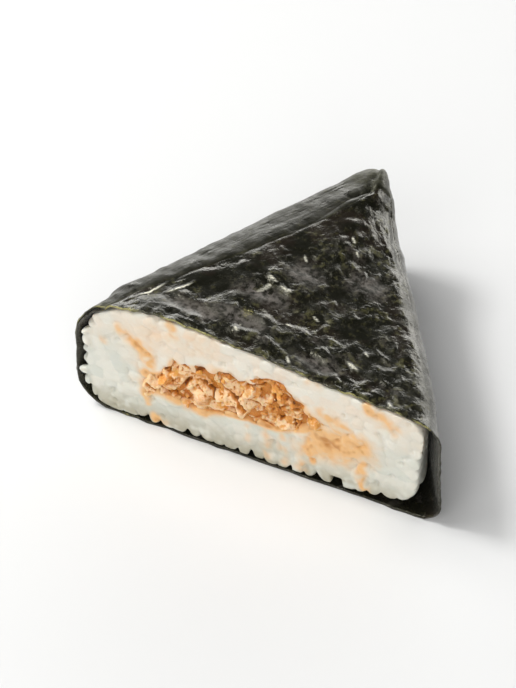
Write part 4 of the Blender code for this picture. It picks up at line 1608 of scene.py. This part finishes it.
class ONIGIRI_OT_rice_grains(bpy.types.Operator):
    """Cooked grains stuck together at the cut, sliced flat by the knife, whole in the gap"""

    bl_idname = "onigiri.rice_grains"
    bl_label = "Rice grains"

    def execute(self, context):
        settings = context.scene.onigiri_rice
        rng = np.random.default_rng(23)
        centres, kinds = self.grain_centres(settings, rng)
        count = len(centres)
        axes = self.grain_axes(kinds, rng)
        width = settings.grain_width
        half = np.array((settings.grain_length, width, width * 0.9)) / 2
        half_sizes = half * rng.uniform(0.85, 1.15, (count, 3))
        half_sizes[kinds == LEFT_END] *= LEFT_END_SIZE
        cut = rng.uniform(0.0, CUT_STEP + LOW_CUT_STEP * low_on_cut(centres), count)
        cut[kinds == LEFT_END] -= LEFT_END_STEP
        grains, faces, per_grain = sliced_grains(centres, axes, half_sizes, cut, rng)
        over_rim = rng.uniform(0.0, LEFT_END_OVERHANG, count) * (kinds == LEFT_END)
        margin = -np.repeat(over_rim, per_grain) * (grains[:, 1] < OVERHANG_DEPTH)
        grains = RICE_BOUNDARY.keep_inside(grains, margin)

        def relief(points):
            return SLAB_STEP + SLAB_RELIEF * ridges_at(points, *SLAB_RIDGES)

        rings = np.linspace(0.0, 1.0, 44)[1:]
        slab, slab_faces = rice_slab(rings, SLAB_DEPTHS, SLAB_INSET, relief, FOOT_GAP)
        faces += [[i + len(grains) for i in face] for face in slab_faces]
        points, faces = fused(np.vstack((grains, slab)), faces, VOXEL)
        own, gap = grain_at(points, centres, axes, half_sizes)
        tone = rng.uniform(0.0, 1.0, count)[own]
        seam = 1 - smooth(0.0, 0.30, gap)
        seam = seam * smooth(-0.2, 0.5, noise_at(points, *OPEN_SEAMS) + 0.3 * low_on_cut(points))
        on_face = 1 - smooth(*FACE_FADE, points[:, 1])
        points[:, 1] += settings.seam * seam * on_face + self.pits(points, rng) * on_face
        x, y, z, tone, seam = neighbour_means(len(points), faces, [*points.T, tone, seam], 1)
        points = np.stack((x, y, z), 1)
        finish = rice_finish(settings)
        attributes = rice_attributes(points, tone, seam)
        make_piece("rice_grains", points, faces, finish, (), attributes)
        return {"FINISHED"}

    def grain_axes(self, kinds, rng):
        """Grains lie any way on the cut, stand at its foot and lie flat along its edge."""
        directions = rng.normal(size=(len(kinds), 3))
        for kind, spread in GRAIN_SPREADS.items():
            directions[kinds == kind] *= spread
        directions[kinds == FOOT, 2] += 1.0
        directions /= np.linalg.norm(directions, axis=1)[:, None]
        return rotation_rows(directions, rng)

    def grain_centres(self, settings, rng):
        """Grain centres, and for each the stretch of the cut that it lies in."""
        border, inside = grain_places(settings.spacing, rng)
        x, z = border.T
        on_foot = (z < z.min() + FOOT_BAND) & (x > FOOT_STRETCH[0]) & (x < FOOT_STRETCH[1])
        kinds = np.where(on_foot, FOOT, EDGE)
        kinds = np.where((x < LEFT_END_BOX[0]) & (z < LEFT_END_BOX[1]), LEFT_END, kinds)
        border[kinds == FOOT, 1] += rng.uniform(*FOOT_RISES, (kinds == FOOT).sum())
        kept = np.ones(len(border), bool)
        for gap_x, half_width in FOOT_GAPS:
            kept &= (kinds != FOOT) | (np.abs(x / MM - gap_x) > half_width)
        border, kinds = border[kept], kinds[kept]
        spots = np.vstack((border, inside))
        kinds = np.concatenate((kinds, np.full(len(inside), INSIDE)))
        count = len(spots)
        outer, inner = rng.uniform(*EDGE_DEPTHS, count), rng.uniform(*INSIDE_DEPTHS, count)
        depth = np.where(kinds == INSIDE, inner, outer)
        centres = at_depth(spots, depth)
        kept = filling_share(centres) > 0.98
        centres, kinds = centres[kept], kinds[kept]
        for depth in GAP_DEPTHS:
            row = at_depth(border[border[:, 0] > GAP_START], depth)
            row += rng.uniform(-GAP_SCATTER, GAP_SCATTER, row.shape)
            centres = np.vstack((centres, row))
            kinds = np.concatenate((kinds, np.full(len(row), EDGE)))
        return centres, kinds

    def pits(self, points, rng):
        """Depths of the small holes between the grains, most of them low on the cut."""
        depth = np.zeros(len(points))
        spots = rng.uniform(*PIT_AREA, (PIT_TRIES, 2))
        for x, z in spots:
            reach = rng.uniform(*PIT_RADII)
            deep = rng.uniform(*PIT_DEPTHS)
            if rng.uniform() < 0.25 + 0.75 * (z < PIT_HEIGHT):
                far = ((points[:, 0] - x) / reach) ** 2 + ((points[:, 2] - z) / reach) ** 2
                depth += deep * np.exp(-far)
        return depth


# ---------------------------------------------------------------- the filling

# The core of the filling: its size as a share of the outline, the depth and relief of its face,
# the angles of the rings on its round back, and the back's start and depth.
CORE_SHARE = 0.97
CORE_DEPTH = 0.0014
CORE_RIDGES = (0.0022, 4.2)
CORE_LUMPS = (0.003, 1.0)
CORE_RELIEF = (0.0004, 0.0005)
CORE_ANGLES = (12, 30, 50, 68, 82)
CORE_BACK = (0.0012, 0.0176)
# A torn flake: how many planes cut it and how far out they lie, and the least and most of its
# half sizes.
PLANES = 11
PLANE_OFFSETS = (0.50, 0.90)
FLAKE_SIZES = ((0.95, 0.7, 0.5), (1.35, 1.05, 0.85))
# How much deeper flakes and crumbs lie than the cut, at least and at most.
FLAKE_DEPTH = 0.0017
FLAKE_DEPTHS = (-0.0006, 0.0009)
BIT_DEPTHS = (0.0004, 0.0018)
CRUMB_DEPTHS = (-0.0003, 0.0006)
OUTSIDE_SINK = 0.0024
# How deep a hollow and a seam between lumps have to be for their full painted shade, and how high a
# crest for its full painted highlight.
HOLLOW_DEPTHS = (0.00012, 0.00070)
SEAM_DEPTHS = (0.00002, 0.00012)
CREST_HEIGHTS = (0.00001, 0.00009)
# Depths over which painted shade grows behind the cut, and heights given a painted shadow under the
# rice.
RECESS_SHADE_DEPTHS = (0.0002, 0.0022)
ROOF_SHADOW_HEIGHTS = (0.014, 0.018)
# Noises of the filling: the size of their features and a seed.
CREVICE_SHIFTS = ((0.0012, 2.2), (0.0012, 7.2))
GRITS = ((0.0010, 3.3), (0.00045, 8.1))
RAGGED_RIM = (0.0014, 6.6)
SAUCE_PATCHES = (0.0026, 5.9)


def filling_finish(settings):
    """Moist seasoned flakes: peach flesh, orange-brown outside, sauce in patches, and dark sauce
    colour painted as shade in the hollows.
    """
    finish = Finish(
        "seasoned_flakes",
        Subsurface_Weight=0.22,
        Subsurface_Radius=(1.0, 0.42, 0.16),
        Subsurface_Scale=0.0007,
        Coat_Roughness=0.15,
    )
    place = finish.place()
    mottle = finish.noise(place, 1.0, 4.0, 0.6)
    fine = finish.noise(place, 3.4, 3.0)
    tone = finish.attribute("tone")
    sauce_and_shade = finish.attribute("sauce_and_shade")
    flesh = finish.rise(tone * 0.75 + mottle * 0.9, 0.50, 0.95)
    colour = finish.mix(flesh, settings.orange, settings.pale)
    golden = finish.rise(finish.noise(place, 0.55, 2.0), 0.55, 0.68)
    colour = finish.mix(golden * 0.55, colour, settings.golden)
    wet_and_shade = sauce_and_shade + mottle * 0.6 - 0.22
    colour = finish.mix(finish.rise(wet_and_shade, 0.26, 0.62), colour, settings.sauced)
    colour = finish.mix(finish.rise(wet_and_shade, 0.62, 1.15), colour, settings.deep)
    finish.feed("Base Color", colour)
    finish.feed("Roughness", 0.36 + fine * 0.2)
    finish.feed("Coat Weight", finish.rise(fine, 0.4, 0.7) * 0.22)
    finish.feed("Normal", finish.bump(finish.noise(place, 2.6, 3.0), 0.00030, 0.9))
    return finish.material


def crevices_at(points):
    """How deep the filling's crevices are at each point, and how much painted shade they get."""
    spots = points[:, (0, 2)] / MM
    shift = [noise_at(points, *noise_field) for noise_field in CREVICE_SHIFTS]
    spots = spots + 0.35 * np.stack(shift, 1)
    depth, dark = np.zeros(len(points)), np.zeros(len(points))
    for width, deep, line in CREVICES:
        inside = np.exp(-((line_distance(spots, line) / width) ** 2))
        depth = np.maximum(depth, deep * MM * inside)
        dark = np.maximum(dark, inside)
    return depth, dark


def ball(subdivisions):
    """The unit directions and faces of an evenly divided ball."""
    bm = bmesh.new()
    bmesh.ops.create_icosphere(bm, subdivisions=subdivisions, radius=1.0)
    points = np.array([vert.co for vert in bm.verts])
    faces = np.array([[vert.index for vert in face.verts] for face in bm.faces])
    bm.free()
    return points, faces


def chunk(units, half_size, rng):
    """One torn flake: a ball cut by random planes, flattened, with a fibrous surface."""
    planes = rng.normal(size=(PLANES, 3))
    planes /= np.linalg.norm(planes, axis=1)[:, None]
    offsets = rng.uniform(*PLANE_OFFSETS, PLANES)
    toward = units @ planes.T
    reach = np.where(toward > 0.05, offsets / np.maximum(toward, 0.05), 9.0)
    reach = np.minimum(reach.min(1), 1.25)
    grain = np.array([noise.noise(point) for point in units * 1.7 + rng.uniform(0, 50, 3)])
    fibre = units @ rng.normal(size=3)
    reach = reach * (1 + 0.14 * grain + 0.025 * np.sin(fibre * 9))
    sizes = half_size * rng.uniform(*FLAKE_SIZES)
    points = units * reach[:, None] * sizes
    turn = rotation_rows(rng.normal(size=(1, 3)), rng)[0]
    turn /= np.linalg.norm(turn, axis=1)[:, None]
    return points @ turn


def scattered_chunks(centres, half_sizes, subdivisions, rng):
    """Many torn flakes as one mesh, with one random tone for each."""
    units, faces = ball(subdivisions)
    points = [chunk(units, size, rng) + centre for centre, size in zip(centres, half_sizes)]
    every_face = [faces + i * len(units) for i in range(len(points))]
    tone = np.repeat(rng.uniform(0.0, 1.0, len(points)), len(units))
    return np.vstack(points), np.vstack(every_face), tone


class ONIGIRI_OT_filling(bpy.types.Operator):
    """Core of the filling, and the crumbly flakes and loose crumbs at the cut"""

    bl_idname = "onigiri.filling"
    bl_label = "Filling"

    def execute(self, context):
        settings = context.scene.onigiri_filling
        finish = filling_finish(settings)
        self.make_core(finish)
        self.make_flakes(settings, finish)
        return {"FINISHED"}

    def make_core(self, finish):
        """The body of the filling behind its flakes, with a lumpy face and a round back."""
        edge = filling_outline(150)
        centre = np.array(FILLING_CENTRE)
        shares = np.linspace(0.0, 1.0, 30)[1:]
        face = centre + (edge[None] - centre) * shares[:, None, None] * CORE_SHARE
        flat = at_depth(face, 0.0).reshape(-1, 3)
        ridges, lumps = ridges_at(flat, *CORE_RIDGES), noise_at(flat, *CORE_LUMPS)
        flat[:, 1] = CORE_DEPTH - CORE_RELIEF[0] * ridges + CORE_RELIEF[1] * lumps
        rings = list(flat.reshape(len(shares), -1, 3))
        for angle in np.radians(CORE_ANGLES):
            ring = centre + (edge - centre) * CORE_SHARE * math.cos(angle)
            rings.append(at_depth(ring, CORE_BACK[0] + CORE_BACK[1] * math.sin(angle)))
        points, faces = capped_rings(np.array(rings), centre)
        # The core shows in the gaps between flakes; its part-sauced colour there is partly painted
        # shade.
        attributes = {"tone": np.full(len(points), 0.2), "sauce_and_shade": np.full(len(points), 0.45)}
        make_piece("filling_core", points, faces, finish, ("filling",), attributes)

    def make_flakes(self, settings, finish):
        """Flakes pressed into one crumbly mass, and loose crumbs on it."""
        rng = np.random.default_rng(37)
        edge = filling_outline(120)
        low, high = edge.min(0) - 0.002, edge.max(0) + 0.002
        spots = at_depth(rng.uniform(low, high, (TRIES, 2)), 0.0)
        spots = spots[filling_share(spots) < 0.99]
        large = spots[spread_picks(spots[:, (0, 2)], settings.spacing)]
        large[:, 1] = FLAKE_DEPTH + rng.uniform(*FLAKE_DEPTHS, len(large))
        bits = spots[spread_picks(spots[:, (0, 2)], settings.spacing * 0.8)]
        bits[:, 1] = rng.uniform(*BIT_DEPTHS, len(bits))
        centres = np.vstack((large, bits))
        sizes = np.repeat((settings.flake, settings.bit), (len(large), len(bits)))
        sizes = sizes * rng.uniform(0.65, 1.25, len(centres))
        points, faces, tone = scattered_chunks(centres, sizes, 3, rng)
        tree = point_tree(points)
        points, faces = fused(points, faces.tolist(), FLAKE_VOXEL)
        tone = tone[[tree.find(point)[1] for point in points]]
        count = len(points)
        points = np.stack(neighbour_means(count, faces, list(points.T), 9), 1)
        grit = noise_at(points, *GRITS[0]) + 0.7 * noise_at(points, *GRITS[1])
        normals = vertex_normals(points, faces)
        points = points + normals * (settings.grit * grit)[:, None]
        near = np.stack(neighbour_means(count, faces, list(points.T.copy()), 10), 1)
        seam = ((near - points) * normals).sum(1)
        # Painted shade: hollows below the broad surface, seams between lumps and the crevices get
        # the sauce's dark colours.
        broad = neighbour_means(count, faces, [points[:, 1].copy()], 60)[0]
        hollow_shade = 0.9 * smooth(*HOLLOW_DEPTHS, points[:, 1] - broad)
        hollow_shade = np.maximum(hollow_shade, 0.8 * smooth(*SEAM_DEPTHS, seam))
        depth, dark = crevices_at(points)
        outside = filling_share(points) + 0.08 * noise_at(points, *RAGGED_RIM)
        points[:, 1] += depth + OUTSIDE_SINK * smooth(0.98, 1.12, outside)
        hollow_shade = np.maximum(hollow_shade, dark)
        tone = neighbour_means(count, faces, [tone], 2)[0]
        # Painted highlight: crests between the seams get a paler tone.
        tone = tone + 0.35 * smooth(*CREST_HEIGHTS, -seam) - 0.1
        self.make_kind("filling_flakes", points, faces, tone, hollow_shade, finish)
        inside = spots[filling_share(spots) < 0.90]
        small = inside[rng.permutation(len(inside))[: settings.crumbs]]
        small[:, 1] = rng.uniform(*CRUMB_DEPTHS, len(small))
        sizes = settings.crumb * rng.uniform(0.5, 1.5, len(small))
        points, faces, tone = scattered_chunks(small, sizes, 2, rng)
        hollow_shade = np.zeros(len(points))
        self.make_kind("filling_crumbs", points, faces.tolist(), tone, hollow_shade, finish)

    def make_kind(self, name, points, faces, tone, hollow_shade, finish):
        """A piece of the filling, with sauce in patches, painted shade in its hollows and further
        back, and a painted shadow under the rice's roof.
        """
        # Painted shade further back from the cut, and a painted shadow under the rice's roof.
        deep = smooth(*RECESS_SHADE_DEPTHS, points[:, 1])
        roof_shadow = smooth(*FILLING_SEAT, filling_share(points)) * smooth(*ROOF_SHADOW_HEIGHTS, points[:, 2])
        patches = smooth(0.1, 0.6, noise_at(points, *SAUCE_PATCHES))
        sauce_and_shade = np.clip(0.85 * hollow_shade + 0.6 * deep + 0.55 * roof_shadow + 0.35 * patches, 0.0, 1.0)
        attributes = {"tone": tone, "sauce_and_shade": sauce_and_shade}
        make_piece(name, points, faces, finish, (), attributes)


# ---------------------------------------------------------------- the stage


# The stage's lights: azimuth and elevation in degrees, distance, width and height in metres, and
# power in watts.
LIGHTS = {
    "key_left": (-84, 56, 1.0, (0.90, 0.90), 6.8),
    "key_core": (-84, 56, 0.99, (0.22, 0.22), 4.4),
    "front_fill": (12, 38, 1.2, (1.1, 0.8), 7.4),
    "backdrop": (184, 9, 1.3, (2.6, 0.52), 22.0),
}
AIR_COLOUR = (0.93, 0.96, 1.0, 1.0)
AIR_STRENGTH = 0.04
FLOOR_HALF = 2.5
FLOOR_DROP = 0.00005
SENSOR_WIDTH = 36.0


def add_panel_light(name, azimuth, elevation, distance, size, power):
    """A soft area light that faces the middle of the half."""
    data = bpy.data.lights.new(name, "AREA")
    data.shape = "RECTANGLE"
    data.size, data.size_y = size
    data.energy = power
    light = bpy.data.objects.new(name, data)
    bpy.context.scene.collection.objects.link(light)
    toward = direction_from(math.radians(azimuth), math.radians(elevation))
    light.location = toward * distance
    light.rotation_euler = toward.to_track_quat("Z", "Y").to_euler()
    light.visible_camera = False


def direction_from(azimuth, elevation):
    """A unit vector from the half: azimuth 0 is in front of the cut, 90 degrees to its right."""
    flat = math.cos(elevation)
    return Vector((math.sin(azimuth) * flat, -math.cos(azimuth) * flat, math.sin(elevation)))


class ONIGIRI_OT_stage(bpy.types.Operator):
    """Pale floor, soft studio light and the camera"""

    bl_idname = "onigiri.stage"
    bl_label = "Stage"

    def execute(self, context):
        settings = context.scene.onigiri_stage
        self.make_floor(settings)
        self.make_lights()
        self.make_camera(context, settings)
        context.scene.view_settings.view_transform = "Standard"
        return {"FINISHED"}

    def make_floor(self, settings):
        """A pale floor just under the half."""
        finish = Finish("studio_floor", Roughness=0.6)
        grain = finish.noise(finish.place(), 0.02, 2.0)
        pale = tuple(settings.floor)
        finish.feed("Base Color", finish.mix(grain * 0.04, pale, tuple(v * 0.9 for v in pale)))
        mesh = bpy.data.meshes.new("studio_floor")
        half = FLOOR_HALF
        corners = [(-half, -half, 0), (half, -half, 0), (half, half, 0), (-half, half, 0)]
        mesh.from_pydata(corners, [], [(0, 1, 2, 3)])
        mesh.materials.append(finish.material)
        floor = bpy.data.objects.new("studio_floor", mesh)
        bpy.context.scene.collection.objects.link(floor)
        floor.location.z = CAD_BOX[0].z - FLOOR_DROP

    def make_lights(self):
        """Soft area lights and a little light from all round."""
        for name, light in LIGHTS.items():
            add_panel_light(name, *light)
        world = bpy.data.worlds.new("studio_air")
        bpy.context.scene.world = world
        world.use_nodes = True
        air = world.node_tree.nodes["Background"]
        air.inputs["Color"].default_value = AIR_COLOUR
        air.inputs["Strength"].default_value = AIR_STRENGTH

    def middle_of_view(self, away):
        """The point that puts the wrap's outline in the middle of the frame."""
        right = away.orthogonal() if away.z > 0.999 else Vector((0, 0, 1)).cross(away).normalized()
        up = away.cross(right)
        corners = [vert.co for vert in bpy.data.objects["nori_wrap"].data.vertices]
        aim = Vector((0.0, 0.0, 0.0))
        for axis in (right, up, away):
            reach = [corner.dot(axis) for corner in corners]
            aim += axis * (min(reach) + max(reach)) / 2
        return aim

    def make_camera(self, context, settings):
        """A long lens that looks down on the cut from its right."""
        data = bpy.data.cameras.new("camera")
        data.lens = settings.lens
        data.sensor_width = SENSOR_WIDTH
        camera = bpy.data.objects.new("camera", data)
        context.scene.collection.objects.link(camera)
        away = direction_from(settings.azimuth, settings.elevation)
        aim = self.middle_of_view(away)
        distance = settings.span * settings.lens / data.sensor_width
        camera.location = aim + away * distance
        camera.rotation_euler = away.to_track_quat("Z", "Y").to_euler()
        data.clip_start, data.clip_end = 0.01, 20.0
        context.scene.camera = camera


# ---------------------------------------------------------------- add-on


class ONIGIRI_PT_panel(bpy.types.Panel):
    """Buttons and settings of the rice ball half"""

    bl_idname = "ONIGIRI_PT_panel"
    bl_label = "Onigiri Half"
    bl_space_type = "VIEW_3D"
    bl_region_type = "UI"
    bl_category = "Onigiri"

    def draw(self, context):
        for group, operators in PANEL_ROWS:
            box = self.layout.box()
            settings = getattr(context.scene, group)
            for key in settings.__annotations__:
                box.prop(settings, key)
            for operator in operators:
                box.operator(operator.bl_idname)


PANEL_ROWS = (
    ("onigiri_wrap", (ONIGIRI_OT_wrap,)),
    ("onigiri_rice", (ONIGIRI_OT_rice_core, ONIGIRI_OT_rice_grains)),
    ("onigiri_filling", (ONIGIRI_OT_filling,)),
    ("onigiri_stage", (ONIGIRI_OT_stage,)),
)
GROUPS = {
    "onigiri_wrap": WrapSettings,
    "onigiri_rice": RiceSettings,
    "onigiri_filling": FillingSettings,
    "onigiri_stage": StageSettings,
}
CLASSES = (
    *GROUPS.values(),
    ONIGIRI_OT_wrap,
    ONIGIRI_OT_rice_core,
    ONIGIRI_OT_rice_grains,
    ONIGIRI_OT_filling,
    ONIGIRI_OT_stage,
    ONIGIRI_PT_panel,
)


def register():
    for cls in CLASSES:
        bpy.utils.register_class(cls)
    for name, group in GROUPS.items():
        setattr(bpy.types.Scene, name, PointerProperty(type=group))


def unregister():
    for name in GROUPS:
        delattr(bpy.types.Scene, name)
    for cls in reversed(CLASSES):
        bpy.utils.unregister_class(cls)


def main():
    register()
    bpy.ops.onigiri.wrap()
    bpy.ops.onigiri.rice_core()
    bpy.ops.onigiri.rice_grains()
    bpy.ops.onigiri.filling()
    bpy.ops.onigiri.stage()


if __name__ == "__main__":
    main()
